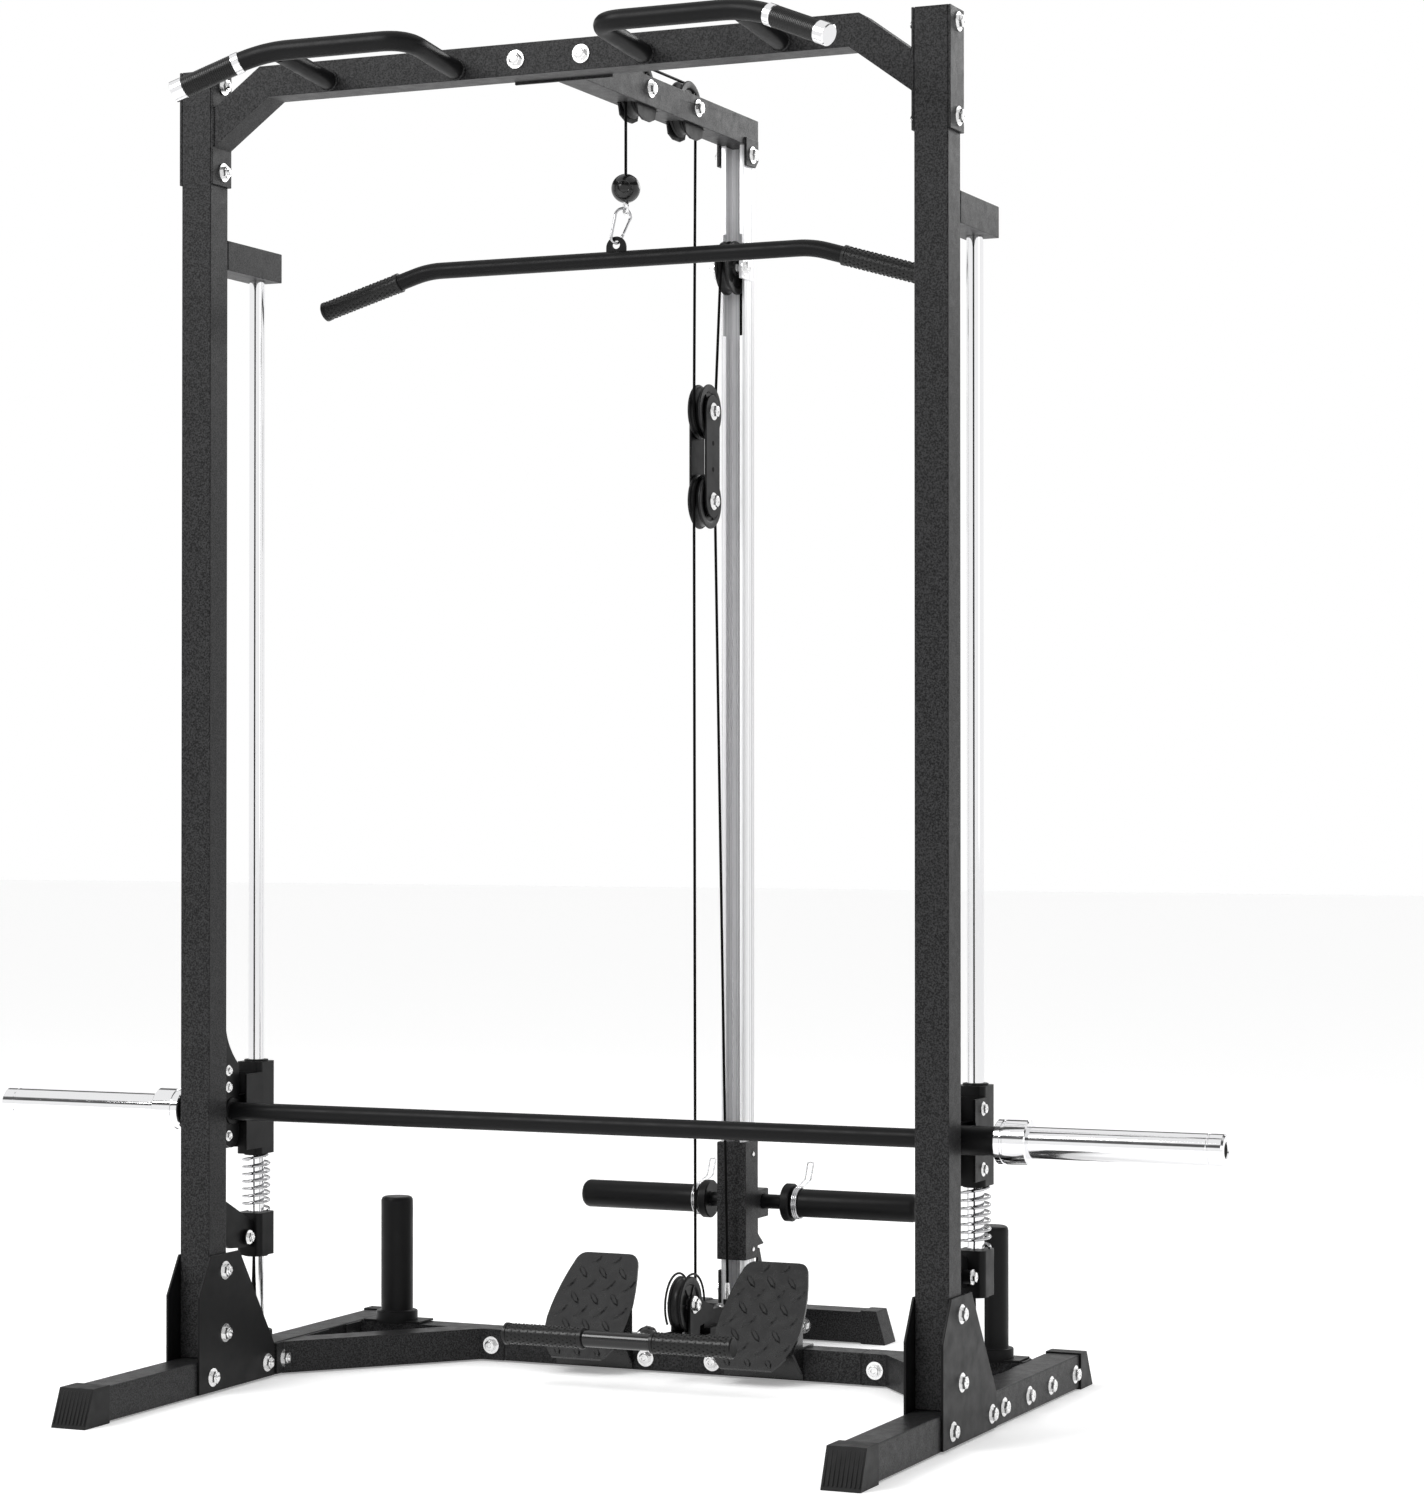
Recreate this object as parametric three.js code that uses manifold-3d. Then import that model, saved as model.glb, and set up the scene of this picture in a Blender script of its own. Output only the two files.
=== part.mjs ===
// Power cage: a two-upright rack with a Smith bar on guide rods, twin pull-up handles, and a
// plate-loaded lat and low-row cable column behind it.
//
// Millimetres, +Z up, +X to the user's right when facing the rack from the front, +Y to the back.
// Lengths along Y are first laid out from the uprights' front face; the whole assembly is then
// shifted so that the origin is under the middle of the object's box.
import * as THREE from "three";
import { mergeVertices } from "three/addons/utils/BufferGeometryUtils.js";
import Module from "manifold-3d";

const wasm = await Module();
wasm.setup();

// ---------------------------------------------------------------- driving dimensions

const GAP = 0.3; // left between pieces that touch
const RUNNING = 0.5; // left round the guide rods
const SIDES = { left: -1, right: 1 };

const UPRIGHT = { x: 656, size: 56, wall: 2.5, top: 2214 };
const SLOT = { first: 330, pitch: 120, count: 13, width: 12, height: 32, inset: 10 };

const FOOT = { front: -345, back: 672, low: 2.5, size: 56, wall: 2.5 };
const CAP = { side: 3.5, top: 61, slantFront: 25, slantBack: 32 };
const CAP_TIP = { front: -378, back: 700 };
const CAP_EDGE = { front: -305, back: 637 };

const PLATE = 4; // gussets, saddles and flanges
const GUSSET = { front: -37, shoulder: 167, top: 231, back: 207, backTop: 60, rear: 92, low: 4 };

const BEAM = { front: 3, depth: 55, low: 2162, high: 2214, bend: 536, slope: 0.73 };
const SADDLE = { low: 2024, depth: 60 };

const BASE = { low: 3, high: 57, wall: 2.5, width: 50 };
const CROSSBAR = { y: 540, half: 338 };
const FRONT_FLANGE = { from: 216, to: 400, brace: 273 };
const BACK_FLANGE = { from: 462, to: 633 };
const BRACE_BEND = 394;
const REAR_FOOT = { y: 996, half: 207, slant: 18, cap: 48 };
// The plates on the spine that hold the mast, each with a fin behind the carriage.
const SOCKET = { margin: 5, low: 55, top: 152, foot: 846, finFrom: 802, finTo: 810, finTop: 187 };

const ARM = { back: 808, size: 50, wall: 3, flange: 88, flangeThick: 5, boss: 8 };
const ARM_TAB = { front: 745, back: 800, low: 2126, chamfer: 14, high: 2176 };
const MAST = { front: 750, size: 45, wall: 4, back: 3, lip: 5, groove: 1.2, window: [1822, 2004] };
const EAR = { front: 728, back: 780, half: 20 };

const PULLEY = { radius: 48, groove: 42.3, half: 12, bore: 6.3, axle: 6, cable: 45.5 };
const CABLE_R = 2.5;
const ARM_PULLEY_Z = 2193;
const ARM_FRONT_Y = 343;
const ARM_REAR_Y = 540;
const MAST_PULLEY = { y: 742, z: 1942 };
const FLOAT = { y: 625, upper: 1674, lower: 1516, plate: 29, inner: 12.7 };
const LOW_PULLEY = { y: 540, z: 118, stem: 17, armBack: 622, armLow: 85, armHigh: 106 };
const LOW_BASE = { half: 25, front: 516, back: 744, pad: [594, 650], padTop: 71 };
const LUG = { half: 14, front: 592, back: 692, shoulder: 74, top: 99, flat: [622, 652] };
const ANCHOR = { y: 727, z: 104, half: 5, length: 9, tieZ: 90, tieFrom: 680 };

const ROD = { y: 200, radius: 13.5, top: 1885.7, cup: 28, cupTop: 82 };
const ROD_ARM = { low: 1886, high: 1936, back: 237 };

const BAR = { y: 98.7, z: 465, radius: 15, hub: 23, hubFrom: 640, hubTo: 730.7 };
const SLEEVE = { from: 731, collar: 783, tip: 1093, radius: 25, collarRadius: 35 };
const SLIDER = { half: 24, front: 172, back: 226, low: 385, high: 543, round: 10 };
const CHANNEL = { half: 27.5, wall: 4, front: 122, back: 177, low: 397, high: 526 };
const YOKE = { from: 652, to: 664, radius: 28, half: 24 };
const HOOK = { from: 643, to: 648, disc: 34, face: 57.5 }; // face: just behind the upright
const STOP = { low: 211, high: 284, boltY: 150, boltZ: 246, boss: 13, slot: 322 };
const SPRING = { mean: 22.5, wire: 2.3, turns: 7 };

const POST = { x: 563.5, y: 536.5, radius: 28.5, collar: 37, collarTop: 78, top: 281 };
const POST_PLATE = { half: 56, front: 514, back: 570 };
const FOOTPLATE = { x: 160, y: 440, z: 30, rise: 160, run: 137, thick: 5 };
const FOOT_SADDLE = { half: 73, low: 6, back: 560 }; // folded over the crossbar
const RIB = { width: 4, front: 470, depth: 14, foot: 14, lap: 3 };

const CARRIAGE = { half: 28, front: 743, back: 800, low: 171, high: 381, holes: [188, 358] };
const CARRIAGE_TAB = { back: 848, low: 240, high: 291 };
const CARRIAGE_LUG = { half: 8, height: 34 };
const HOOK_LUG = { low: 192, high: 214, reach: 27 }; // on the carriage's back edges
const HORN = { y: 824, z: 269, shaft: 13, disc: 34, discAt: 72, discWidth: 16, radius: 25, tip: 326 };
const CLIP = { width: 15, coil: 4, wire: 1.5 };

const BALL_R = 24.5;
const EYE = { ring: 9.5, wire: 2.8 };
const CARABINER = { drop: 59, head: 14, toe: 9.5, wire: 2.4, gate: 26 };
const LAT = { y: 297.5, ballZ: 2019, turn: 45, headShift: -5, toeShift: -16.7 };
const ROW = { ballY: 384, ballRadius: 20, z: 80, tilt: 5.7 };
const LAT_BAR = { radius: 14, bend: 356, gripFrom: 410, tip: 560, tipDrop: 60, grip: 16.5 };
const LAT_TAB = { half: 18.5, thick: 3, hole: 7, slack: 2.6, rise: 25 };
const ROW_BAR = { radius: 14, grip: 18, gripFrom: 62, half: 210 };

const HANDLE = { radius: 16, wall: 2, weld: 2180, weldGap: 2.5, round: 48 };
const HANDLE_RUN = { inner: 165, outer: 427, leg: 404, reach: 172, z: 2197 };
const HANDLE_TIP = { x: 571, y: -208, z: 2137 };

// ---------------------------------------------------------------- materials

const material = (color, roughness, metalness) =>
  new THREE.MeshStandardMaterial({ color, roughness, metalness });
const POWDER = material(0x1d1d1f, 0.6, 0.3);
const SATIN = material(0x161617, 0.45, 0.35);
const CHROME = material(0xd8dadd, 0.12, 1);
const ALUMINIUM = material(0xc6c9cc, 0.35, 0.9);
const PLASTIC = material(0x141415, 0.5, 0);
const NYLON = material(0x101011, 0.4, 0);
const RUBBER = material(0x151516, 0.85, 0);

// ---------------------------------------------------------------- solids

// A three.js geometry as a manifold solid.
function solid(geometry) {
  const bare = geometry.index ? geometry.toNonIndexed() : geometry.clone();
  for (const name of Object.keys(bare.attributes)) {
    if (name !== "position") bare.deleteAttribute(name);
  }
  const merged = mergeVertices(bare, 1e-3);
  return new wasm.Manifold(
    new wasm.Mesh({
      numProp: 3,
      vertProperties: new Float32Array(merged.attributes.position.array),
      triVerts: new Uint32Array(merged.index.array),
    }),
  );
}

// A manifold solid as a three.js geometry.
function geometryOf(body) {
  const { numProp, vertProperties, triVerts } = body.getMesh();
  const points = new Float32Array((vertProperties.length / numProp) * 3);
  for (let i = 0; i * numProp < vertProperties.length; i++) {
    points.set(vertProperties.subarray(i * numProp, i * numProp + 3), i * 3);
  }
  const geometry = new THREE.BufferGeometry()
    .setAttribute("position", new THREE.BufferAttribute(points, 3))
    .setIndex(new THREE.BufferAttribute(triVerts, 1));
  geometry.computeVertexNormals();
  return geometry;
}

const join = (...bodies) => bodies.reduce((a, b) => a.add(b));
const cut = (body, ...tools) => tools.reduce((a, b) => a.subtract(b), body);

// A block between two corners.
function block(x0, x1, y0, y1, z0, z1) {
  const [xa, xb] = [Math.min(x0, x1), Math.max(x0, x1)];
  const box = new THREE.BoxGeometry(xb - xa, y1 - y0, z1 - z0);
  return solid(box.translate((xa + xb) / 2, (y0 + y1) / 2, (z0 + z1) / 2));
}

// An outline in the YZ plane, extruded along X from x0 to x1.
function plateX(outline, x0, x1) {
  const [xa, xb] = [Math.min(x0, x1), Math.max(x0, x1)];
  const shape = outline instanceof THREE.Shape ? outline : polygon(outline);
  const geometry = new THREE.ExtrudeGeometry(shape, {
    depth: xb - xa,
    bevelEnabled: false,
    curveSegments: 6,
  });
  // shape x -> Y, shape y -> Z, depth -> X
  const turn = new THREE.Matrix4().makeBasis(
    new THREE.Vector3(0, 1, 0),
    new THREE.Vector3(0, 0, 1),
    new THREE.Vector3(1, 0, 0),
  );
  return solid(geometry.applyMatrix4(turn).translate(xa, 0, 0));
}

// An outline in the XZ plane, extruded along Y from y0 to y1.
function plateY(outline, y0, y1) {
  const geometry = new THREE.ExtrudeGeometry(polygon(outline), { depth: y1 - y0, bevelEnabled: false });
  return solid(geometry.rotateX(Math.PI / 2).translate(0, y1, 0));
}

// An outline in the XY plane, extruded along Z from z0 to z1.
function plateZ(outline, z0, z1) {
  const shape = outline instanceof THREE.Shape ? outline : polygon(outline);
  const depth = z1 - z0;
  const geometry = new THREE.ExtrudeGeometry(shape, { depth, bevelEnabled: false, curveSegments: 5 });
  return solid(geometry.translate(0, 0, z0));
}

function polygon(points) {
  return new THREE.Shape(points.map(([a, b]) => new THREE.Vector2(a, b)));
}

// A rectangle with rounded corners.
function rounded(x0, x1, y0, y1, r) {
  const shape = new THREE.Shape();
  shape.absarc(x1 - r, y1 - r, r, 0, Math.PI / 2, false);
  shape.absarc(x0 + r, y1 - r, r, Math.PI / 2, Math.PI, false);
  shape.absarc(x0 + r, y0 + r, r, Math.PI, 1.5 * Math.PI, false);
  shape.absarc(x1 - r, y0 + r, r, 1.5 * Math.PI, 2 * Math.PI, false);
  return shape;
}

// A turned solid about a line along X through (y, z); profile holds [radius, x] pairs.
function turnedX(profile, y, z, segments = 22) {
  return solid(lathe(profile, segments).rotateZ(-Math.PI / 2).translate(0, y, z));
}

// A turned solid about a line along Z through (x, y); profile holds [radius, z] pairs.
function turnedZ(profile, x, y, segments = 22) {
  return solid(lathe(profile, segments).rotateX(Math.PI / 2).translate(x, y, 0));
}

// The lathe turns about Y, and its profile has to climb along Y for the faces to point out.
function lathe(profile, segments) {
  const points = profile.map(([r, h]) => new THREE.Vector2(r, h));
  return new THREE.LatheGeometry(points, segments);
}

// A plain round bar along X, and one along Z.
const roundX = (r, x0, x1, y, z, segments = 20) => {
  const [xa, xb] = [Math.min(x0, x1), Math.max(x0, x1)];
  return turnedX([[0, xa], [r, xa], [r, xb], [0, xb]], y, z, segments);
};
const roundZ = (r, x, y, z0, z1, segments = 20) =>
  turnedZ([[0, z0], [r, z0], [r, z1], [0, z1]], x, y, segments);

// A round bar between any two points.
function roundBetween(a, b, r, segments = 14) {
  const line = new THREE.Vector3().subVectors(b, a);
  const rod = new THREE.CylinderGeometry(r, r, line.length(), segments);
  const turn = new THREE.Quaternion().setFromUnitVectors(
    new THREE.Vector3(0, 1, 0),
    line.clone().normalize(),
  );
  const middle = new THREE.Vector3().addVectors(a, b).multiplyScalar(0.5);
  return solid(rod.applyQuaternion(turn).translate(middle.x, middle.y, middle.z));
}

// A ring in the YZ plane (axis along X).
function ringX(ring, wire, x, y, z) {
  return solid(new THREE.TorusGeometry(ring, wire, 6, 14).rotateY(Math.PI / 2).translate(x, y, z));
}

// A route through given points, which a tube follows point by point.
class Route extends THREE.Curve {
  constructor(points) {
    super();
    this.points = points;
  }
  getPoint(t, target = new THREE.Vector3()) {
    const at = Math.min(Math.max(t, 0), 1) * (this.points.length - 1);
    const i = Math.min(Math.floor(at), this.points.length - 2);
    return target.lerpVectors(this.points[i], this.points[i + 1], at - i);
  }
  getPointAt(u, target) {
    return this.getPoint(u, target);
  }
  getTangentAt(u, target = new THREE.Vector3()) {
    const i = Math.round(u * (this.points.length - 1));
    const before = this.points[Math.max(i - 1, 0)];
    const after = this.points[Math.min(i + 1, this.points.length - 1)];
    return target.subVectors(after, before).normalize();
  }
}

// A tube of the given section along a list of points.
function tubeAlong(points, radius, sides = 8, hollow = 0) {
  const section = ring(radius, sides);
  if (hollow) section.holes.push(new THREE.Path(ring(hollow, sides).getPoints()));
  return solid(
    new THREE.ExtrudeGeometry(section, {
      steps: points.length - 1,
      bevelEnabled: false,
      extrudePath: new Route(points),
    }),
  );
}

// A regular outline with so many sides.
function ring(radius, sides) {
  const corners = Array.from({ length: sides }, (_, i) => {
    const angle = (2 * Math.PI * (i + 0.5)) / sides;
    return new THREE.Vector2(radius * Math.cos(angle), radius * Math.sin(angle));
  });
  return new THREE.Shape(corners);
}

// Points of an arc in the YZ plane at x = 0, from one angle to another in degrees.
function arc(y, z, radius, from, to, steps) {
  return Array.from({ length: steps + 1 }, (_, i) => {
    const angle = THREE.MathUtils.degToRad(from + ((to - from) * i) / steps);
    return new THREE.Vector3(0, y + radius * Math.cos(angle), z + radius * Math.sin(angle));
  });
}

// A polyline with each inner corner replaced by a curve that starts `round` before it.
function roundedLine(corners, round, steps = 5) {
  const points = [corners[0]];
  for (let i = 1; i < corners.length - 1; i++) {
    const toPrevious = new THREE.Vector3().subVectors(corners[i - 1], corners[i]).setLength(round);
    const toNext = new THREE.Vector3().subVectors(corners[i + 1], corners[i]).setLength(round);
    const bend = new THREE.QuadraticBezierCurve3(
      toPrevious.add(corners[i]),
      corners[i],
      toNext.add(corners[i]),
    );
    points.push(...bend.getPoints(steps));
  }
  points.push(corners[corners.length - 1]);
  return points;
}

// ---------------------------------------------------------------- the scene graph

const assembly = new THREE.Group();
const DEPTH_CENTRE = (CAP_TIP.front + REAR_FOOT.y + FOOT.size / 2) / 2;
assembly.position.y = -DEPTH_CENTRE;

function add(name, body, finish, parent = assembly) {
  const mesh = new THREE.Mesh(geometryOf(body), finish);
  mesh.name = name;
  parent.add(mesh);
  return mesh;
}

// ---------------------------------------------------------------- uprights, feet and gussets

function upright(side) {
  const x = side * UPRIGHT.x;
  const half = UPRIGHT.size / 2;
  const inside = half - UPRIGHT.wall;
  const low = FOOT.low + FOOT.size + GAP;
  const tube = cut(
    block(x - half, x + half, 0, UPRIGHT.size, low, UPRIGHT.top),
    block(x - inside, x + inside, UPRIGHT.wall, UPRIGHT.size - UPRIGHT.wall, low - 1, UPRIGHT.top + 1),
  );
  const slotX = side * (UPRIGHT.x - SLOT.inset);
  const slots = Array.from({ length: SLOT.count }, (_, i) => {
    const z = SLOT.first + i * SLOT.pitch;
    const reach = [UPRIGHT.size - UPRIGHT.wall - 1, UPRIGHT.size + 1];
    return block(slotX - SLOT.width / 2, slotX + SLOT.width / 2, ...reach, z, z + SLOT.height);
  });
  return cut(tube, ...slots);
}

function foot(side) {
  const x = side * UPRIGHT.x;
  const half = FOOT.size / 2;
  const inside = half - FOOT.wall;
  const high = FOOT.low + FOOT.size;
  return cut(
    block(x - half, x + half, FOOT.front, FOOT.back, FOOT.low, high),
    block(x - inside, x + inside, FOOT.front - 1, FOOT.back + 1, FOOT.low + FOOT.wall, high - FOOT.wall),
  );
}

// A plastic cap that sleeves over a tube end; its outer face leans back towards the top.
function footCap(side, end) {
  const x = side * UPRIGHT.x;
  const half = FOOT.size / 2;
  const [tip, tube, slant, inner] =
    end < 0
      ? [CAP_TIP.front, FOOT.front, CAP.slantFront, CAP_EDGE.front]
      : [CAP_TIP.back, FOOT.back, CAP.slantBack, CAP_EDGE.back];
  const outline = [[tip, 0], [tip - end * slant, CAP.top], [inner, CAP.top], [inner, 0]];
  if (end > 0) outline.reverse();
  const reach = [Math.min(tube + end * GAP, inner - end), Math.max(tube + end * GAP, inner - end)];
  return cut(
    plateX(outline, x - half - CAP.side, x + half + CAP.side),
    block(x - half - GAP, x + half + GAP, ...reach, FOOT.low - GAP, FOOT.low + FOOT.size + GAP),
  );
}

// One trapezoid plate, bolted to the side of an upright and its foot.
function gusset(side, face) {
  const inner = side * UPRIGHT.x + face * (UPRIGHT.size / 2 + GAP);
  const outline = [
    [GUSSET.front, GUSSET.low],
    [GUSSET.back, GUSSET.low],
    [GUSSET.back, GUSSET.backTop],
    [GUSSET.rear, GUSSET.top],
    [0, GUSSET.top],
    [GUSSET.front, GUSSET.shoulder],
  ];
  return plateX(outline, inner, inner + face * PLATE);
}

for (const [name, side] of Object.entries(SIDES)) {
  add(`${name}_upright`, upright(side), POWDER);
  add(`${name}_foot`, foot(side), POWDER);
  add(`${name}_foot_front_cap`, footCap(side, -1), PLASTIC);
  add(`${name}_foot_rear_cap`, footCap(side, 1), PLASTIC);
  add(`${name}_outer_gusset`, gusset(side, side), SATIN);
  add(`${name}_inner_gusset`, gusset(side, -side), SATIN);
}

// ---------------------------------------------------------------- crossbeam and pull-up handles

// A box beam with mitred ends that run down to a saddle round the top of each upright.
function crossbeam() {
  const reach = UPRIGHT.x - UPRIGHT.size / 2 - GAP;
  const back = BEAM.front + BEAM.depth;
  const outline = (inset, end) => {
    const high = BEAM.high - inset;
    const low = BEAM.low + inset;
    const slant = inset * Math.hypot(1, BEAM.slope);
    const top = (x) => BEAM.high - slant - (x - BEAM.bend) * BEAM.slope;
    const thick = (BEAM.high - BEAM.low) * Math.hypot(1, BEAM.slope) - 2 * slant;
    const bendTop = BEAM.bend + (top(BEAM.bend) - high) / BEAM.slope;
    const bendLow = BEAM.bend + (top(BEAM.bend) - thick - low) / BEAM.slope;
    const half = [[bendTop, high], [end, top(end)], [end, top(end) - thick], [bendLow, low]];
    const mirrored = half.map(([x, z]) => [-x, z]).reverse();
    return [...half, ...mirrored].reverse();
  };
  const saddles = Object.values(SIDES).map((side) => saddle(side));
  const wall = BASE.wall;
  return cut(
    join(plateY(outline(0, reach - PLATE / 2), BEAM.front, back), ...saddles),
    plateY(outline(wall, reach + 1), BEAM.front + wall, back - wall),
  );
}

function saddle(side) {
  const x = side * UPRIGHT.x;
  const inner = UPRIGHT.size / 2 + GAP;
  const outer = inner + PLATE;
  return cut(
    block(x - outer, x + outer, 0, SADDLE.depth, SADDLE.low, UPRIGHT.top),
    block(x - inner, x + inner, -1, UPRIGHT.size + GAP, SADDLE.low - 1, UPRIGHT.top + 1),
  );
}

// A bent tube that leaves the beam, runs along it and drops to an angled grip, with a second leg.
function pullupHandle(side) {
  const { radius, wall, weld, weldGap, round } = HANDLE;
  const { inner, outer, leg, reach, z } = HANDLE_RUN;
  const start = BEAM.front - weldGap;
  const at = (x, y, height) => new THREE.Vector3(side * x, y, height);
  const route = roundedLine(
    [
      at(inner + 4, start, weld),
      at(inner, -reach, z),
      at(outer, -reach, z),
      at(HANDLE_TIP.x, HANDLE_TIP.y, HANDLE_TIP.z),
    ],
    round,
  );
  const second = roundBetween(at(leg, start, weld), at(leg, -reach + radius - 1, z - 1), radius - 1);
  return join(tubeAlong(route, radius, 12, radius - wall), second);
}

add("crossbeam", crossbeam(), POWDER);
for (const [name, side] of Object.entries(SIDES)) {
  add(`${name}_pullup_handle`, pullupHandle(side), SATIN);
}

// ---------------------------------------------------------------- base frame

// A rectangular tube between two points of the floor plan, as an outer and an inner block.
function baseTube(from, to, inset) {
  const run = new THREE.Vector2().subVectors(to, from);
  const width = BASE.width - 2 * inset;
  const height = BASE.high - BASE.low - 2 * inset;
  const box = new THREE.BoxGeometry(run.length(), width, height)
    .rotateZ(run.angle())
    .translate((from.x + to.x) / 2, (from.y + to.y) / 2, (BASE.low + BASE.high) / 2);
  return solid(box);
}

// The side frame: a diagonal and a straight tube that meet in a V, with a bolting flange on each.
function baseBrace(side) {
  const face = UPRIGHT.x - FOOT.size / 2 - GAP;
  const plan = (x, y) => new THREE.Vector2(side * x, y);
  const inner = face - PLATE;
  const diagonal = [plan(inner + 20, FRONT_FLANGE.brace - 21), plan(BRACE_BEND, CROSSBAR.y)];
  const straight = [plan(inner + 1, CROSSBAR.y), plan(CROSSBAR.half + GAP, CROSSBAR.y)];
  const flanges = [FRONT_FLANGE, BACK_FLANGE].map(({ from, to }) =>
    block(side * inner, side * face, from, to, BASE.low + 1, BASE.high),
  );
  const beyond = block(side * face, side * (face + BASE.width), 0, REAR_FOOT.y, 0, CAP.top);
  // The hollows stop short of the flanges, and the straight one opens towards the crossbar.
  const open = [straight[0].clone().add(plan(-8, 0)), straight[1].clone().add(plan(-2, 0))];
  const inside = [diagonal[0].clone().add(plan(-40, 44)), diagonal[1]];
  return cut(
    join(baseTube(...diagonal, 0), baseTube(...straight, 0), ...flanges),
    beyond,
    join(baseTube(...inside, BASE.wall), baseTube(...open, BASE.wall)),
  );
}

function baseCrossbar() {
  const ends = (reach) => [-reach, reach].map((x) => new THREE.Vector2(x, CROSSBAR.y));
  const { half } = CROSSBAR;
  return cut(baseTube(...ends(half), 0), baseTube(...ends(half + 1), BASE.wall));
}

// The tube from the crossbar to the rear foot, with the socket plates that hold the mast.
function baseSpine() {
  const front = CROSSBAR.y + BASE.width / 2 + GAP;
  const back = REAR_FOOT.y - FOOT.size / 2 - GAP;
  const half = BASE.width / 2;
  const inside = half - BASE.wall;
  const socket = MAST.size / 2 + GAP;
  const along = [MAST.front - SOCKET.margin, MAST.front + MAST.size + SOCKET.margin];
  const plate = [
    [along[0], SOCKET.low],
    [SOCKET.foot, SOCKET.low],
    [SOCKET.finTo + 13, SOCKET.top + 5],
    [SOCKET.finTo, SOCKET.finTop],
    [SOCKET.finFrom, SOCKET.finTop],
    [along[1], SOCKET.top],
    [along[0], SOCKET.top],
  ];
  const plates = Object.values(SIDES).map((side) =>
    plateX(plate, side * socket, side * (socket + PLATE)),
  );
  return join(
    cut(
      block(-half, half, front, back, BASE.low, BASE.high),
      block(-inside, inside, front - 1, back + 1, BASE.low + BASE.wall, BASE.high - BASE.wall),
    ),
    ...plates,
  );
}

// The rear foot with its two leaning end caps.
function rearFoot() {
  const { y, half, slant, cap } = REAR_FOOT;
  const deck = FOOT.low + FOOT.size;
  const right = [[half, 0], [half - slant, CAP.top], [half - cap, CAP.top], [half - cap, deck]];
  const left = right.map(([x, z]) => [-x, z]).reverse();
  const wide = FOOT.size / 2;
  const belly = block(cap - half, half - cap, y - FOOT.size, y + FOOT.size, -1, FOOT.low);
  return cut(plateY([...right, ...left], y - wide, y + wide), belly);
}

for (const [name, side] of Object.entries(SIDES)) {
  add(`${name}_base_brace`, baseBrace(side), POWDER);
}
add("base_crossbar", baseCrossbar(), POWDER);
add("base_spine", baseSpine(), POWDER);
add("rear_foot", rearFoot(), POWDER);

// ---------------------------------------------------------------- plate storage and footplates

function storagePost(side) {
  const x = side * POST.x;
  const deck = BASE.high + GAP;
  const profile = [
    [0, deck],
    [POST.collar, deck],
    [POST.collar, POST.collarTop - 3],
    [POST.collar - 3, POST.collarTop],
    [POST.radius, POST.collarTop],
    [POST.radius, POST.top - 7],
    [POST.radius - 2, POST.top - 2],
    [POST.radius - 7, POST.top],
    [0, POST.top],
  ];
  const { half, front, back } = POST_PLATE;
  const base = block(x - half, x + half, front, back, deck, deck + PLATE);
  return join(turnedZ(profile, x, POST.y), base);
}

// A foot-shaped tread plate, leaning back, on two ribs of a saddle folded over the crossbar.
function footplate(side) {
  const length = Math.hypot(FOOTPLATE.rise, FOOTPLATE.run);
  const outline = new THREE.Shape();
  outline.moveTo(-48, -4);
  outline.lineTo(46, -4);
  outline.quadraticCurveTo(76, 24, 79, 76);
  outline.quadraticCurveTo(79, 134, 62, length - 18);
  outline.quadraticCurveTo(58, length + 2, 40, length + 2);
  outline.lineTo(-38, length + 2);
  outline.quadraticCurveTo(-56, length + 2, -61, length - 20);
  outline.quadraticCurveTo(-77, 124, -76, 74);
  outline.quadraticCurveTo(-74, 18, -48, -4);
  const sheet = new THREE.ExtrudeGeometry(mirrored(outline, side), {
    depth: FOOTPLATE.thick,
    bevelEnabled: false,
    curveSegments: 5,
  });
  const up = new THREE.Vector3(0, FOOTPLATE.run, FOOTPLATE.rise).normalize();
  const across = new THREE.Vector3(1, 0, 0);
  const out = new THREE.Vector3().crossVectors(across, up);
  sheet.applyMatrix4(new THREE.Matrix4().makeBasis(across, up, out));
  sheet.translate(side * FOOTPLATE.x, FOOTPLATE.y, FOOTPLATE.z);
  const front = CROSSBAR.y - BASE.width / 2 - GAP;
  const slope = FOOTPLATE.run / FOOTPLATE.rise;
  const under = (y) => FOOTPLATE.z + (y - FOOTPLATE.y) / slope + RIB.lap;
  const face = front - PLATE;
  const rib = [
    [RIB.front, under(RIB.front) - RIB.depth],
    [face + 1, RIB.foot],
    [face + 1, under(face + 1)],
    [RIB.front, under(RIB.front)],
  ];
  const x = side * FOOTPLATE.x;
  const { half, low, back } = FOOT_SADDLE;
  const ribs = [x - half, x + half - RIB.width].map((at) => plateX(rib, at, at + RIB.width));
  const deck = BASE.high + GAP;
  return join(
    solid(sheet),
    ...ribs,
    block(x - half, x + half, face, front, low, deck + PLATE),
    block(x - half, x + half, face, back, deck, deck + PLATE),
  );
}

// An outline mirrored left to right for the other side, kept counter-clockwise.
function mirrored(shape, side) {
  const points = shape.extractPoints(5).shape.map((p) => new THREE.Vector2(side * p.x, p.y));
  return new THREE.Shape(THREE.ShapeUtils.isClockWise(points) ? points.reverse() : points);
}

for (const [name, side] of Object.entries(SIDES)) {
  add(`${name}_storage_post`, storagePost(side), SATIN);
  add(`${name}_footplate`, footplate(side), POWDER);
}

// ---------------------------------------------------------------- guide rods, sliders and Smith bar

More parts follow.
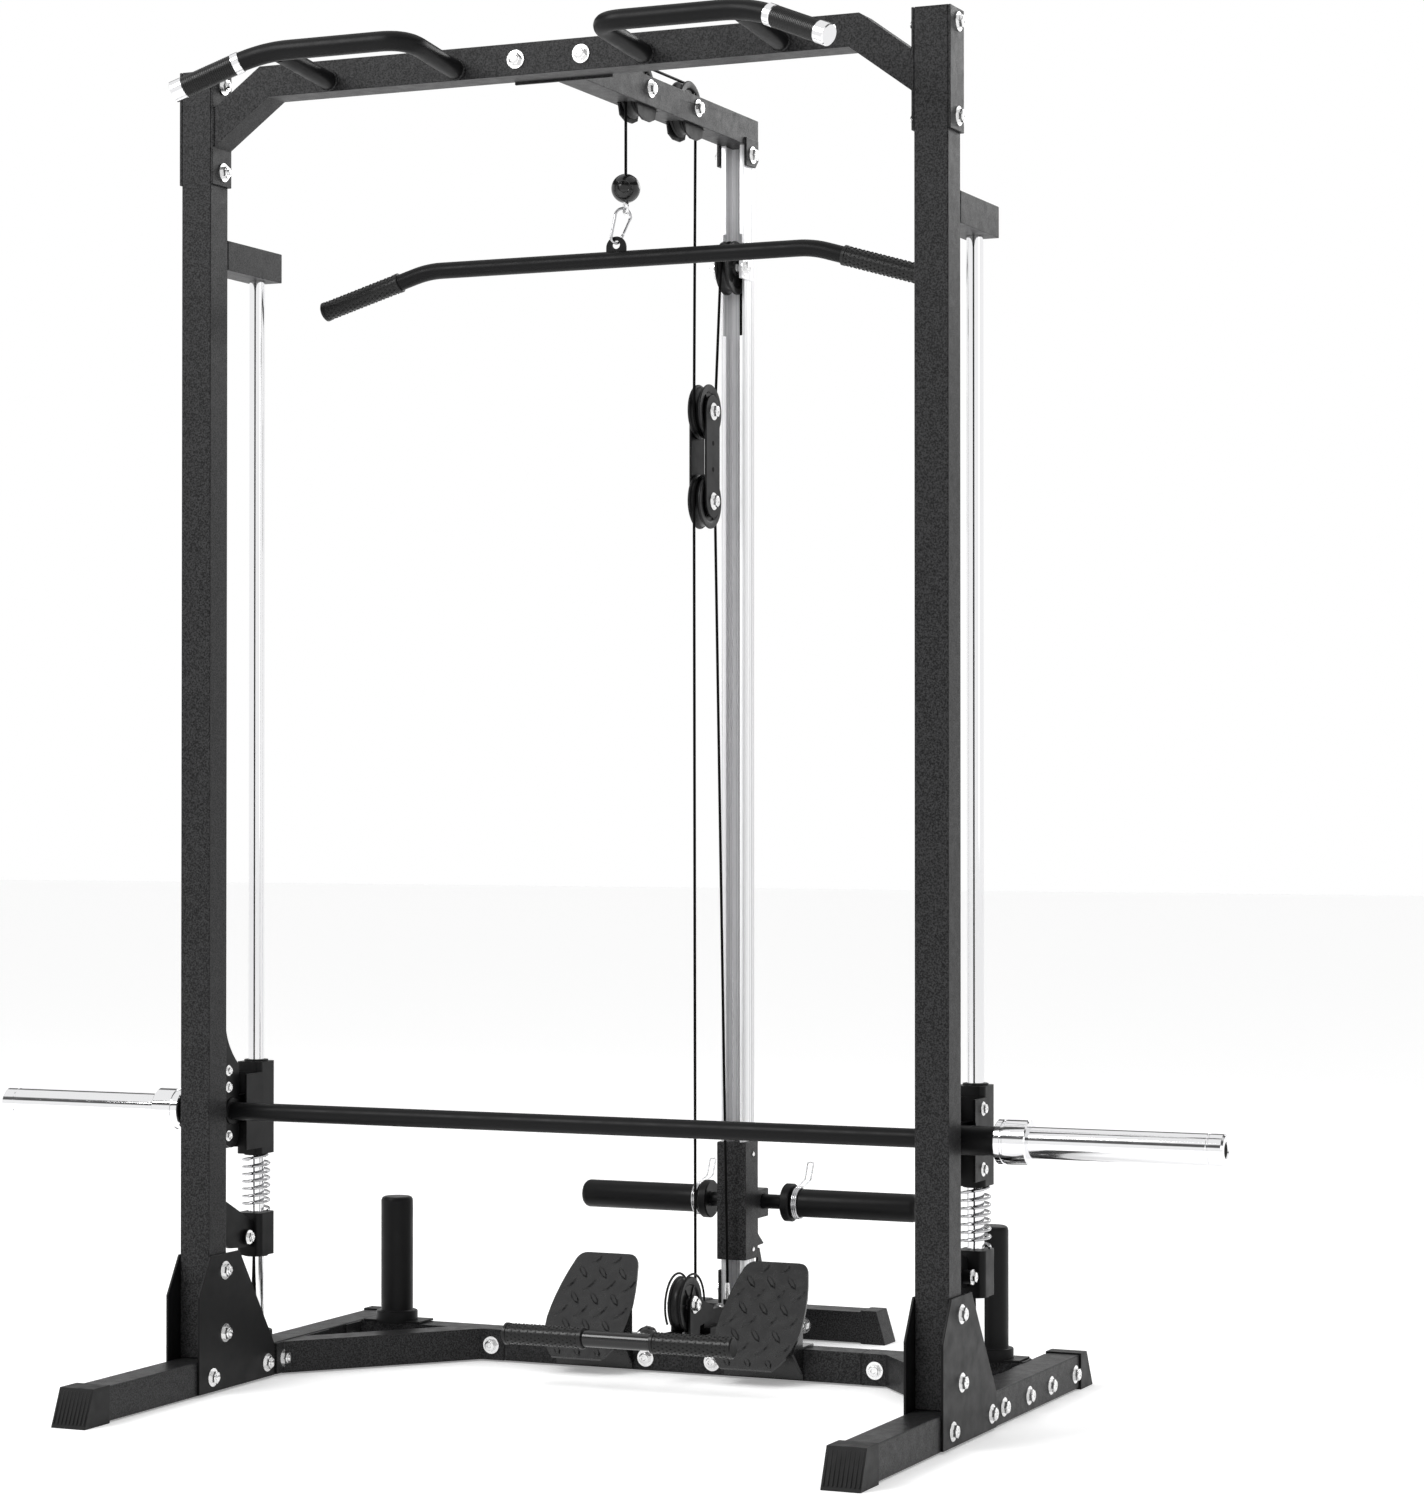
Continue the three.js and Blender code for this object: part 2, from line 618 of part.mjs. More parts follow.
function guideRod(side) {
  const low = FOOT.low + FOOT.size + GAP;
  const profile = [
    [0, low],
    [ROD.cup, low],
    [ROD.cup, ROD.cupTop - 2],
    [ROD.cup - 2, ROD.cupTop],
    [ROD.radius, ROD.cupTop],
    [ROD.radius, ROD.top],
    [0, ROD.top],
  ];
  return turnedZ(profile, side * UPRIGHT.x, ROD.y, 20);
}

function rodArm(side) {
  const x = side * UPRIGHT.x;
  const half = UPRIGHT.size / 2;
  const front = UPRIGHT.size + GAP;
  const { low, high, back } = ROD_ARM;
  const { wall } = UPRIGHT;
  return cut(
    block(x - half, x + half, front, back, low, high),
    block(x - half + wall, x + half - wall, front - 1, back - wall, low + wall, high - wall),
  );
}

// A bearing block on the guide rod; the channel clamped round its front carries the bar's yoke.
function slider(side) {
  const x = side * UPRIGHT.x;
  const { half, front, back, low, high, round } = SLIDER;
  const channel = cut(
    block(x - CHANNEL.half, x + CHANNEL.half, CHANNEL.front, CHANNEL.back, CHANNEL.low, CHANNEL.high),
    block(
      x - CHANNEL.half + CHANNEL.wall,
      x + CHANNEL.half - CHANNEL.wall,
      CHANNEL.front - 1,
      front - CHANNEL.wall,
      CHANNEL.low - 1,
      CHANNEL.high + 1,
    ),
  );
  const yoke = join(
    block(side * YOKE.from, side * YOKE.to, BAR.y, front, BAR.z - YOKE.half, BAR.z + YOKE.half),
    roundX(YOKE.radius, side * YOKE.from, side * YOKE.to, BAR.y, BAR.z),
  );
  const wide = BAR.hub + 0.4; // running clearance round the bar's hub
  const past = side * (UPRIGHT.x + CHANNEL.half + 1);
  const clear = wide + 2;
  return cut(
    join(plateZ(rounded(x - half, x + half, front - 1, back, round), low, high), channel, yoke),
    roundZ(ROD.radius + RUNNING, x, ROD.y, low - 1, high + 1),
    roundX(wide, side * (YOKE.from - 1), side * (YOKE.to + 1), BAR.y, BAR.z),
    roundX(clear, side * (YOKE.to + 1), past, BAR.y, BAR.z),
    block(side * YOKE.to, past, CHANNEL.front - 1, BAR.y + clear, BAR.z - clear, BAR.z + clear),
  );
}

// The bar between the sleeves, with its thicker hubs and the hook plates that turn with it.
function smithBar() {
  const half = [
    [BAR.hub, BAR.hubTo],
    [BAR.hub, BAR.hubFrom],
    [BAR.radius, BAR.hubFrom],
  ];
  const left = half.map(([r, x]) => [r, -x]);
  const profile = [[0, -BAR.hubTo], ...left, ...half.reverse(), [0, BAR.hubTo]];
  const hooks = Object.values(SIDES).map((side) =>
    join(
      plateX(hookOutline(), side * HOOK.from, side * HOOK.to),
      roundX(HOOK.disc, side * HOOK.from, side * HOOK.to, BAR.y, BAR.z, 24),
    ),
  );
  return join(turnedX(profile, BAR.y, BAR.z, 20), ...hooks);
}

// The hook: an arm up from the bar that curls towards the slots in the back of the upright.
function hookOutline() {
  const { face } = HOOK;
  const shape = new THREE.Shape();
  shape.moveTo(BAR.y - 22, BAR.z);
  shape.lineTo(BAR.y + 24, BAR.z);
  shape.lineTo(BAR.y + 22, BAR.z + 78);
  shape.quadraticCurveTo(face + 22, BAR.z + 112, face + 20, BAR.z + 152);
  shape.lineTo(face, BAR.z + 158);
  shape.lineTo(face, BAR.z + 140);
  shape.quadraticCurveTo(face + 8, BAR.z + 132, face + 8, BAR.z + 118);
  shape.quadraticCurveTo(face + 8, BAR.z + 96, face + 14, BAR.z + 66);
  return shape;
}

// A chromed sleeve that weight plates slide onto, with its stop collar.
function sleeve(side) {
  const { from, collar, tip, radius, collarRadius } = SLEEVE;
  const profile = [
    [0, from],
    [collarRadius, from],
    [collarRadius, collar],
    [radius, collar],
    [radius, tip - 3],
    [radius - 3, tip],
    [0, tip],
  ];
  return turnedX(sided(profile, side), BAR.y, BAR.z, 24);
}

// A profile along +X, or its mirror image along -X, in the order that the lathe needs.
function sided(profile, side) {
  return side > 0 ? profile : profile.map(([r, x]) => [r, -x]).reverse();
}

// A compression spring round the guide rod, standing on the safety stop.
function spring(side) {
  const low = STOP.high + GAP + SPRING.wire;
  const high = SLIDER.low - GAP - SPRING.wire;
  const steps = SPRING.turns * 8;
  const points = Array.from({ length: steps + 1 }, (_, i) => {
    const angle = (2 * Math.PI * SPRING.turns * i) / steps;
    const x = side * UPRIGHT.x + SPRING.mean * Math.cos(angle);
    const y = ROD.y + SPRING.mean * Math.sin(angle);
    return new THREE.Vector3(x, y, low + ((high - low) * i) / steps);
  });
  return tubeAlong(points, SPRING.wire, 5);
}

// A safety stop: a clamp block on the rod with a plate that reaches to the upright's slots.
function safetyStop(side) {
  const x = side * UPRIGHT.x;
  const { half, front, back, round } = SLIDER;
  const { face } = HOOK;
  const { boltY, boltZ, slot } = STOP;
  const outline = [
    [face, boltZ + 4],
    [face + 40, boltZ - 14],
    [front + 6, boltZ - 20],
    [front + 6, boltZ + 22],
    [face + 8, slot],
    [face, slot],
  ];
  const boss = roundX(STOP.boss, side * (UPRIGHT.x - 16), side * (UPRIGHT.x - 3), boltY, boltZ);
  return cut(
    join(
      plateZ(rounded(x - half, x + half, front, back, round), STOP.low, STOP.high),
      plateX(outline, side * (UPRIGHT.x - 10), side * (UPRIGHT.x - 4)),
      boss,
    ),
    roundZ(ROD.radius + RUNNING, x, ROD.y, STOP.low - 1, STOP.high + 1),
  );
}

for (const [name, side] of Object.entries(SIDES)) {
  add(`${name}_guide_rod`, guideRod(side), CHROME);
  add(`${name}_rod_arm`, rodArm(side), POWDER);
  add(`${name}_slider`, slider(side), PLASTIC);
  add(`${name}_sleeve`, sleeve(side), CHROME);
  add(`${name}_spring`, spring(side), CHROME);
  add(`${name}_safety_stop`, safetyStop(side), SATIN);
}
add("smith_bar", smithBar(), SATIN);

// ---------------------------------------------------------------- lat arm, mast and pulleys

// The arm that carries the two upper pulleys and holds the mast between its tabs.
function latArm() {
  const half = ARM.size / 2;
  const inside = half - ARM.wall;
  const front = BEAM.front + BEAM.depth + GAP;
  const low = BEAM.high - ARM.size;
  const { high } = BEAM;
  const slots = [ARM_FRONT_Y, ARM_REAR_Y].map((y) => {
    const room = PULLEY.radius + 6;
    return block(-PULLEY.half - 2, PULLEY.half + 2, y - room, y + room, low - 1, high + 1);
  });
  const reach = half + ARM.boss;
  const axles = [ARM_FRONT_Y, ARM_REAR_Y].map((y) =>
    roundX(PULLEY.axle, -reach, reach, y, ARM_PULLEY_Z, 16),
  );
  const tab = [
    [ARM_TAB.front, ARM_TAB.low],
    [ARM_TAB.back - ARM_TAB.chamfer, ARM_TAB.low],
    [ARM_TAB.back, ARM_TAB.low + ARM_TAB.chamfer],
    [ARM_TAB.back, ARM_TAB.high],
    [ARM_TAB.front, ARM_TAB.high],
  ];
  const tabs = Object.values(SIDES).map((side) => plateX(tab, side * (half - 1), side * (half + PLATE)));
  const bolted = front + ARM.flangeThick;
  const flange = block(-ARM.flange, ARM.flange, front, bolted, low - 6, high + 2);
  return join(
    cut(
      join(block(-half, half, front + 2, ARM.back, low, high), flange),
      block(-inside, inside, bolted, ARM.back + 1, low + ARM.wall, high - ARM.wall),
      ...slots,
    ),
    ...axles,
    ...tabs,
  );
}

// A lipped channel extrusion, open to the front, with small grooves along its outer faces; its
// lips are cut away where the upper pulley reaches in.
function mast() {
  const half = MAST.size / 2;
  const back = MAST.front + MAST.size;
  const { groove } = MAST;
  const sideGrooves = [10, MAST.size / 2, MAST.size - 10].flatMap((at) => [
    [half, MAST.front + at - groove],
    [half - groove, MAST.front + at],
    [half, MAST.front + at + groove],
  ]);
  const right = [
    [half, MAST.front],
    ...sideGrooves,
    [half, back],
    [groove, back],
    [0, back - groove],
  ];
  const left = right.slice(0, -1).map(([x, y]) => [-x, y]).reverse();
  const inside = half - MAST.wall;
  const mouth = inside - MAST.lip;
  const inner = [
    [-mouth, MAST.front],
    [-mouth, MAST.front + MAST.back],
    [-inside, MAST.front + MAST.back],
    [-inside, back - MAST.back],
    [inside, back - MAST.back],
    [inside, MAST.front + MAST.back],
    [mouth, MAST.front + MAST.back],
    [mouth, MAST.front],
  ];
  const low = BASE.high + GAP;
  const high = BEAM.high - ARM.size - GAP;
  const channel = cut(
    plateZ([...right, ...left, ...inner], low, high),
    block(-inside, inside, MAST.front - 1, MAST.front + MAST.back + 1, ...MAST.window),
  );
  const { y, z } = MAST_PULLEY;
  const ears = Object.values(SIDES).map((side) =>
    block(side * (half - 1), side * (half + PLATE), EAR.front, EAR.back, z - EAR.half, z + EAR.half),
  );
  const axle = roundX(PULLEY.axle, -half - 11, half + 11, y, z, 12);
  return join(channel, ...ears, axle);
}

// A grooved pulley about a line along X.
function pulley(y, z) {
  const { radius, groove, half, bore } = PULLEY;
  const lip = 3;
  const profile = [
    [bore, -half],
    [radius, -half],
    [radius, -half + lip],
    [groove, -2],
    [groove, 2],
    [radius, half - lip],
    [radius, half],
    [bore, half],
    [bore, -half],
  ];
  return turnedX(profile, y, z, 24);
}

// The two side plates and axles that hold the pair of floating pulleys.
function floatingFrame() {
  const { y, upper, lower, plate, inner } = FLOAT;
  const stadium = new THREE.Shape();
  stadium.absarc(y, upper, plate, 0, Math.PI, false);
  stadium.absarc(y, lower, plate, Math.PI, 2 * Math.PI, false);
  const plates = Object.values(SIDES).map((side) => plateX(stadium, side * inner, side * (inner + PLATE)));
  const axles = [upper, lower].map((z) => roundX(PULLEY.axle, -inner - 12, inner + 12, y, z, 16));
  return join(...plates, ...axles);
}

// The low pulley's two cheek plates on a base plate, with the lug and tie bolt behind them.
function lowPulleyBracket() {
  const deck = BASE.high + GAP;
  const { y, z, stem, armBack, armLow, armHigh } = LOW_PULLEY;
  const inner = PULLEY.half + 2.5;
  const cheek = [
    [y - stem, deck],
    [y + stem + 4, deck],
    [y + stem + 8, armLow - 7],
    [armBack, armLow],
    [armBack, armHigh],
    [y + 10, z + 12],
    [y - 12, z + 12],
    [y - stem, z],
  ];
  const cheeks = Object.values(SIDES).map((side) =>
    join(
      plateX(cheek, side * inner, side * (inner + PLATE)),
      roundX(stem, side * inner, side * (inner + PLATE), y, z),
    ),
  );
  const { front, back, shoulder, top, flat } = LUG;
  const lug = new THREE.Shape();
  lug.moveTo(front, deck);
  lug.lineTo(back, deck);
  lug.lineTo(back, shoulder);
  lug.quadraticCurveTo(back - 8, top - 1, flat[1], top);
  lug.lineTo(flat[0], top);
  lug.quadraticCurveTo(front + 2, top - 3, front, shoulder);
  const wide = LOW_BASE.half;
  const tie = [ANCHOR.tieFrom, LOW_BASE.back].map((at) => new THREE.Vector3(0, at, ANCHOR.tieZ));
  const post = [ANCHOR.y - ANCHOR.length, ANCHOR.y + ANCHOR.length];
  return join(
    ...cheeks,
    block(-wide, wide, LOW_BASE.front, LOW_BASE.back, deck, deck + PLATE),
    block(-wide, wide, ...LOW_BASE.pad, deck, LOW_BASE.padTop),
    plateX(lug, -LUG.half, LUG.half),
    roundX(PULLEY.axle, -inner - 12, inner + 12, y, z, 16),
    roundBetween(...tie, ANCHOR.half, 12),
    block(-ANCHOR.half, ANCHOR.half, ...post, deck, ANCHOR.z - GAP),
  );
}

// The lat cable: handle, arm pulleys, under the floating pulley, over the mast pulley, carriage.
function latCable() {
  const r = PULLEY.cable;
  const start = new THREE.Vector3(0, LAT.y, LAT.ballZ + BALL_R + GAP);
  const end = new THREE.Vector3(0, MAST_PULLEY.y + r, CARRIAGE.high + GAP);
  return tubeAlong(
    [
      start,
      ...arc(ARM_FRONT_Y, ARM_PULLEY_Z, r, 180, 90, 5),
      ...arc(ARM_REAR_Y, ARM_PULLEY_Z, r, 90, 0, 5),
      ...arc(FLOAT.y, FLOAT.upper, r, 180, 360, 10),
      ...arc(MAST_PULLEY.y, MAST_PULLEY.z, r, 180, 0, 10),
      end,
    ],
    CABLE_R,
  );
}

// The row cable: handle, under the low pulley, over the lower floating pulley, to its anchor.
function rowCable() {
  const r = PULLEY.cable;
  return tubeAlong(
    [
      new THREE.Vector3(0, ROW.ballY + ROW.ballRadius + GAP, ROW.z),
      ...arc(LOW_PULLEY.y, LOW_PULLEY.z, r, 270, 360, 6),
      ...arc(FLOAT.y, FLOAT.lower, r, 180, 0, 10),
      new THREE.Vector3(0, ANCHOR.y, ANCHOR.z),
    ],
    CABLE_R,
  );
}

add("lat_arm", latArm(), SATIN);
add("mast", mast(), ALUMINIUM);
add("floating_frame", floatingFrame(), SATIN);
add("low_pulley_bracket", lowPulleyBracket(), SATIN);
add("arm_front_pulley", pulley(ARM_FRONT_Y, ARM_PULLEY_Z), NYLON);
add("arm_rear_pulley", pulley(ARM_REAR_Y, ARM_PULLEY_Z), NYLON);
add("mast_pulley", pulley(MAST_PULLEY.y, MAST_PULLEY.z), NYLON);
add("float_upper_pulley", pulley(FLOAT.y, FLOAT.upper), NYLON);
add("float_lower_pulley", pulley(FLOAT.y, FLOAT.lower), NYLON);
add("low_pulley", pulley(LOW_PULLEY.y, LOW_PULLEY.z), NYLON);
add("lat_cable", latCable(), RUBBER);
add("row_cable", rowCable(), RUBBER);

// ---------------------------------------------------------------- weight carriage

// The sleeve that runs on the mast; a lug inside the channel takes the cable, and its back edges
// carry small hooks.
function weightCarriage() {
  const { half, front, back, low, high } = CARRIAGE;
  const bore = MAST.size / 2 + 1;
  const mastBack = MAST.front + MAST.size;
  const hook = [
    [back - 1, HOOK_LUG.low],
    [back + HOOK_LUG.reach, HOOK_LUG.low + 1],
    [back - 1, HOOK_LUG.high],
  ];
  const hooks = Object.values(SIDES).map((side) => plateX(hook, side * (half - PLATE), side * half));
  const body = cut(
    block(-half, half, front, back, low, high),
    block(-bore, bore, MAST.front - 1, mastBack + 1, low - 1, high + 1),
  );
  const holes = CARRIAGE.holes.map((z) => roundX(4, -half - 2, half + 2, front + 33, z, 12));
  const lug = block(
    -CARRIAGE_LUG.half,
    CARRIAGE_LUG.half,
    front + 2,
    mastBack - MAST.back - 1,
    high - CARRIAGE_LUG.height,
    high,
  );
  const tab = block(-half, half, back - 1, CARRIAGE_TAB.back, CARRIAGE_TAB.low, CARRIAGE_TAB.high);
  return cut(
    join(cut(body, ...holes), tab, lug, ...hooks),
    roundX(HORN.shaft + GAP, -half - 2, half + 2, HORN.y, HORN.z),
  );
}

// The cross shaft with a plate horn on each side.
function weightHorn() {
  const { shaft, disc, discAt, discWidth, radius, tip } = HORN;
  const half = [
    [shaft, discAt],
    [disc - 2, discAt],
    [disc, discAt + 2],
    [disc, discAt + discWidth - 2],
    [disc - 2, discAt + discWidth],
    [radius, discAt + discWidth],
    [radius, tip - 10],
    [radius - 3, tip - 3],
    [radius - 9, tip],
    [0, tip],
  ];
  const left = half.map(([r, x]) => [r, -x]).reverse();
  return turnedX([...left, ...half], HORN.y, HORN.z, 22);
}

// A spring clip: a coil round the horn whose two wire ends join in a grip behind it.
function hornClip(side) {
  const from = HORN.discAt + HORN.discWidth + 1;
  const to = from + CLIP.width;
  const inner = HORN.radius + 0.4;
  const coil = [
    [inner, from],
    [inner + CLIP.coil, from],
    [inner + CLIP.coil, to],
    [inner, to],
    [inner, from],
  ];
  const leg = (x) =>
    [
      [6, inner + 2],
      [44, inner + 12],
      [58, inner + 42],
    ].map(([back, up]) => new THREE.Vector3(side * x, HORN.y + back, HORN.z + up));
  const grip = roundedLine([...leg(from + 2), ...leg(to - 2).reverse()], 3, 2);
  return join(turnedX(sided(coil, side), HORN.y, HORN.z, 22), tubeAlong(grip, CLIP.wire, 6));
}

add("weight_carriage", weightCarriage(), SATIN);
add("weight_horn", weightHorn(), SATIN);
for (const [name, side] of Object.entries(SIDES)) {
  add(`${name}_horn_clip`, hornClip(side), CHROME);
}

// ---------------------------------------------------------------- handles on the cables

// Each set is laid out hanging down from its ball, whose centre is the origin.
const EYE_DROP = BALL_R + EYE.ring - 1;
const WIRE_TOP = -EYE_DROP - 1;
const WIRE_LOW = WIRE_TOP - CARABINER.drop;
const ROW_EYE = WIRE_LOW - 1;
const ROW_AXIS = ROW_EYE - EYE.ring - ROW_BAR.radius + 1;

function ballStop(radius) {
  const ball = solid(new THREE.SphereGeometry(radius, 16, 10).rotateX(Math.PI / 2));
  const neck = roundZ(4, 0, 0, -BALL_R - 1, -radius / 2, 8);
  return join(ball, neck, ringX(EYE.ring, EYE.wire, 0, 0, -EYE_DROP));
}

// The straight run of wire on the gate's side, from the carabiner's wide head to its narrow toe.
function gateLine(headShift, toeShift) {
  const { head, toe } = CARABINER;
  const upper = new THREE.Vector3(headShift + head, 0, WIRE_TOP - head);
  const lower = new THREE.Vector3(toeShift + toe, 0, WIRE_LOW + toe);
  return { upper, lower, along: new THREE.Vector3().subVectors(upper, lower).normalize() };
}

// The gate's ends, each drawn in by `trim` from the cut in the wire.
function gateEnds(headShift, toeShift, trim) {
  const { upper, lower, along } = gateLine(headShift, toeShift);
  const middle = new THREE.Vector3().addVectors(upper, lower).multiplyScalar(0.5);
  const end = (sign, inset) =>
    middle.clone().addScaledVector(along, sign * (CARABINER.gate / 2 - inset));
  return [end(-1, trim[0]), end(1, trim[1])];
}

// The carabiner's body is open on one side, where the gate closes it.
function carabiner(headShift, toeShift) {
  const { head, toe, wire } = CARABINER;
  const bend = (x, z, radius, from, to) =>
    Array.from({ length: 9 }, (_, i) => {
      const angle = THREE.MathUtils.degToRad(from + ((to - from) * i) / 8);
      return new THREE.Vector3(x + radius * Math.cos(angle), 0, z + radius * Math.sin(angle));
    });
  const [low, high] = gateEnds(headShift, toeShift, [-GAP, -GAP]);
  const body = [
    high,
    ...bend(headShift, WIRE_TOP - head, head, 0, 180),
    ...bend(toeShift, WIRE_LOW + toe, toe, 180, 360),
    low,
  ];
  return tubeAlong(body, wire, 8);
}

function carabinerGate(headShift, toeShift, trim) {
  return roundBetween(...gateEnds(headShift, toeShift, trim), CARABINER.wire - 0.5, 10);
}

// The wide pull-down bar, bent down at both ends, with thick rubber grips and a pierced tab.
function latBar() {
  const { radius, bend, gripFrom, tip, tipDrop, grip } = LAT_BAR;
  const { half, thick, hole, slack, rise } = LAT_TAB;
  const holeZ = WIRE_LOW - slack;
  const axis = holeZ - rise;
  const at = (x, drop = 0) => new THREE.Vector3(x, 0, axis - drop);
  const slope = tipDrop / (tip - bend);
  const route = roundedLine([at(-tip, tipDrop), at(-bend), at(bend), at(tip, tipDrop)], 22, 4);
  const grips = Object.values(SIDES).map((s) =>
    roundBetween(at(s * gripFrom, (gripFrom - bend) * slope), at(s * (tip + 0.5), tipDrop), grip, 16),
  );
  const tab = new THREE.Shape();
  tab.absarc(0, holeZ - slack - 2, half, 0, Math.PI, false);
  tab.lineTo(-half, axis);
  tab.lineTo(half, axis);
  const sheet = new THREE.ExtrudeGeometry(tab, { depth: thick, bevelEnabled: false, curveSegments: 8 });
  const lug = cut(
    solid(sheet.rotateX(Math.PI / 2).translate(0, thick / 2, 0)),
    solid(new THREE.CylinderGeometry(hole, hole, 2 * thick, 16).translate(0, 0, holeZ)),
  );
  return join(tubeAlong(route, radius, 12), ...grips, lug);
}

// The short straight bar for rowing, with a rubber grip each side.
function rowBar() {
  const { radius, grip, gripFrom, half } = ROW_BAR;
  const right = [
    [radius, 8],
    [radius, gripFrom],
    [grip + 1.5, gripFrom],
    [grip + 1.5, gripFrom + 6],
    [grip, gripFrom + 8],
    [grip, half - 12],
    [grip + 1.5, half - 10],
    [grip + 1.5, half - 2],
    [grip - 2, half],
    [0, half],
  ];
  const left = right.map(([r, x]) => [r, -x]).reverse();
  return join(turnedX([...left, ...right], 0, ROW_AXIS, 18), ringX(EYE.ring, EYE.wire, 0, 0, ROW_EYE));
}

// The ball and the carabiner are turned on the cable; the bar hangs from the carabiner's toe.
const latSet = new THREE.Group();
latSet.position.set(0, LAT.y, LAT.ballZ);
latSet.rotation.z = THREE.MathUtils.degToRad(LAT.turn);
assembly.add(latSet);
const latHanger = new THREE.Group();
latHanger.position.x = LAT.toeShift;
latHanger.rotation.z = -latSet.rotation.z;
latSet.add(latHanger);
add("lat_ball_stop", ballStop(BALL_R), RUBBER, latSet);
add("lat_carabiner", carabiner(LAT.headShift, LAT.toeShift), CHROME, latSet);
add("lat_carabiner_gate", carabinerGate(LAT.headShift, LAT.toeShift, [1.2, 0]), CHROME, latSet);
add("lat_bar", latBar(), SATIN, latHanger);

// The row set is a like chain turned to lie along -Y, rising a little towards its bar.
const rowSet = new THREE.Group();
rowSet.position.set(0, ROW.ballY, ROW.z);
rowSet.rotation.x = -Math.PI / 2 - THREE.MathUtils.degToRad(ROW.tilt);
assembly.add(rowSet);
add("row_ball_stop", ballStop(ROW.ballRadius), RUBBER, rowSet);
add("row_carabiner", join(carabiner(0, 0), carabinerGate(0, 0, [-2, -2])), CHROME, rowSet);
add("row_bar", rowBar(), SATIN, rowSet);

export default assembly;
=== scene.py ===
import math

import bmesh
import bpy
from mathutils import Matrix, Vector, noise


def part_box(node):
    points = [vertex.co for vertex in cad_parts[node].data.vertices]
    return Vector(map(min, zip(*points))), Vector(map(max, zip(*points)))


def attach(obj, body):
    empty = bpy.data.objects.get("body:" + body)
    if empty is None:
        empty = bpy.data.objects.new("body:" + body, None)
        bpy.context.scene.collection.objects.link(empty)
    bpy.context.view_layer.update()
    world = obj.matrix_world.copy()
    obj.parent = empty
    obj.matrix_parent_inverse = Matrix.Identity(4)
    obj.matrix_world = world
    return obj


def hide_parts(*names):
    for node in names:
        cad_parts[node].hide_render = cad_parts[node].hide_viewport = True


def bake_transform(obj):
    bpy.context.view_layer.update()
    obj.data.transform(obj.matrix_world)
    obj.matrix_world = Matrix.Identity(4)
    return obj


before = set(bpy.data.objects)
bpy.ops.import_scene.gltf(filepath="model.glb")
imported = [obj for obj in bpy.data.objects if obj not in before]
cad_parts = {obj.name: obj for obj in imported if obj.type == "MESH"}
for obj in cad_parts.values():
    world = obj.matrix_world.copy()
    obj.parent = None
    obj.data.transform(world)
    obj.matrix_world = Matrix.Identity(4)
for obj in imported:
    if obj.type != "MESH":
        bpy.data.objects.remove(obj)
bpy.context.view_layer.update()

MM = 0.001
UPRIGHT_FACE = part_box("left_upright")[0].y  # y of the uprights' front faces
SIDES = (("left", -1), ("right", 1))
RIGHT, LEFT, FRONT, BACK, UP = (1, 0, 0), (-1, 0, 0), (0, -1, 0), (0, 1, 0), (0, 0, 1)

# Places that several pieces share, in the millimetres of at().
UPRIGHT_X, UPRIGHT_HALF = 656, 28
ROD_Y = 200
BAR_Y, BAR_Z = 98.7, 465
HORN_Y, HORN_Z = 824, 269
POST_X, POST_Y = 563.5, 536.5
STOP_BOLT = (150, 246)
TIE_START, TIE_Z = 681, 90
FLOAT_FACE = 16.7  # outer face of the float's plates, from its middle
PULLEY_AT = {
    "arm_front": (343, 2193),
    "arm_rear": (540, 2193),
    "mast": (742, 1942),
    "float_upper": (625, 1674),
    "float_lower": (625, 1516),
    "low": (540, 118),
}


def at(x, y, z):
    """A place in millimetres, with y counted back from the uprights' front faces."""
    return Vector((x * MM, y * MM + UPRIGHT_FACE, z * MM))


# ---------------- camera, floor and light


def make_camera():
    data = bpy.data.cameras.new("camera")
    data.lens, data.sensor_width = 89.52, 36
    camera = bpy.data.objects.new("camera", data)
    bpy.context.scene.collection.objects.link(camera)
    turn, pitch = math.radians(23.712), math.radians(0.638)
    camera.location = at(2647.225, -5369.582, 1006.329)
    aim = (-math.sin(turn) * math.cos(pitch), math.cos(turn) * math.cos(pitch), math.sin(pitch))
    camera.rotation_mode = "QUATERNION"
    camera.rotation_quaternion = Vector(aim).to_track_quat("-Z", "Y")
    bpy.context.scene.camera = camera


def area_light(name, place, target, size, power, tint=(1, 1, 1)):
    data = bpy.data.lights.new(name, "AREA")
    data.shape, data.energy, data.color = "RECTANGLE", power, tint
    data.size, data.size_y = size
    light = bpy.data.objects.new(name, data)
    bpy.context.scene.collection.objects.link(light)
    light.location = place
    light.rotation_mode = "QUATERNION"
    light.rotation_quaternion = (Vector(target) - Vector(place)).to_track_quat("-Z", "Y")


def set_inputs(node, values):
    for name, value in values.items():
        node.inputs[name].default_value = value


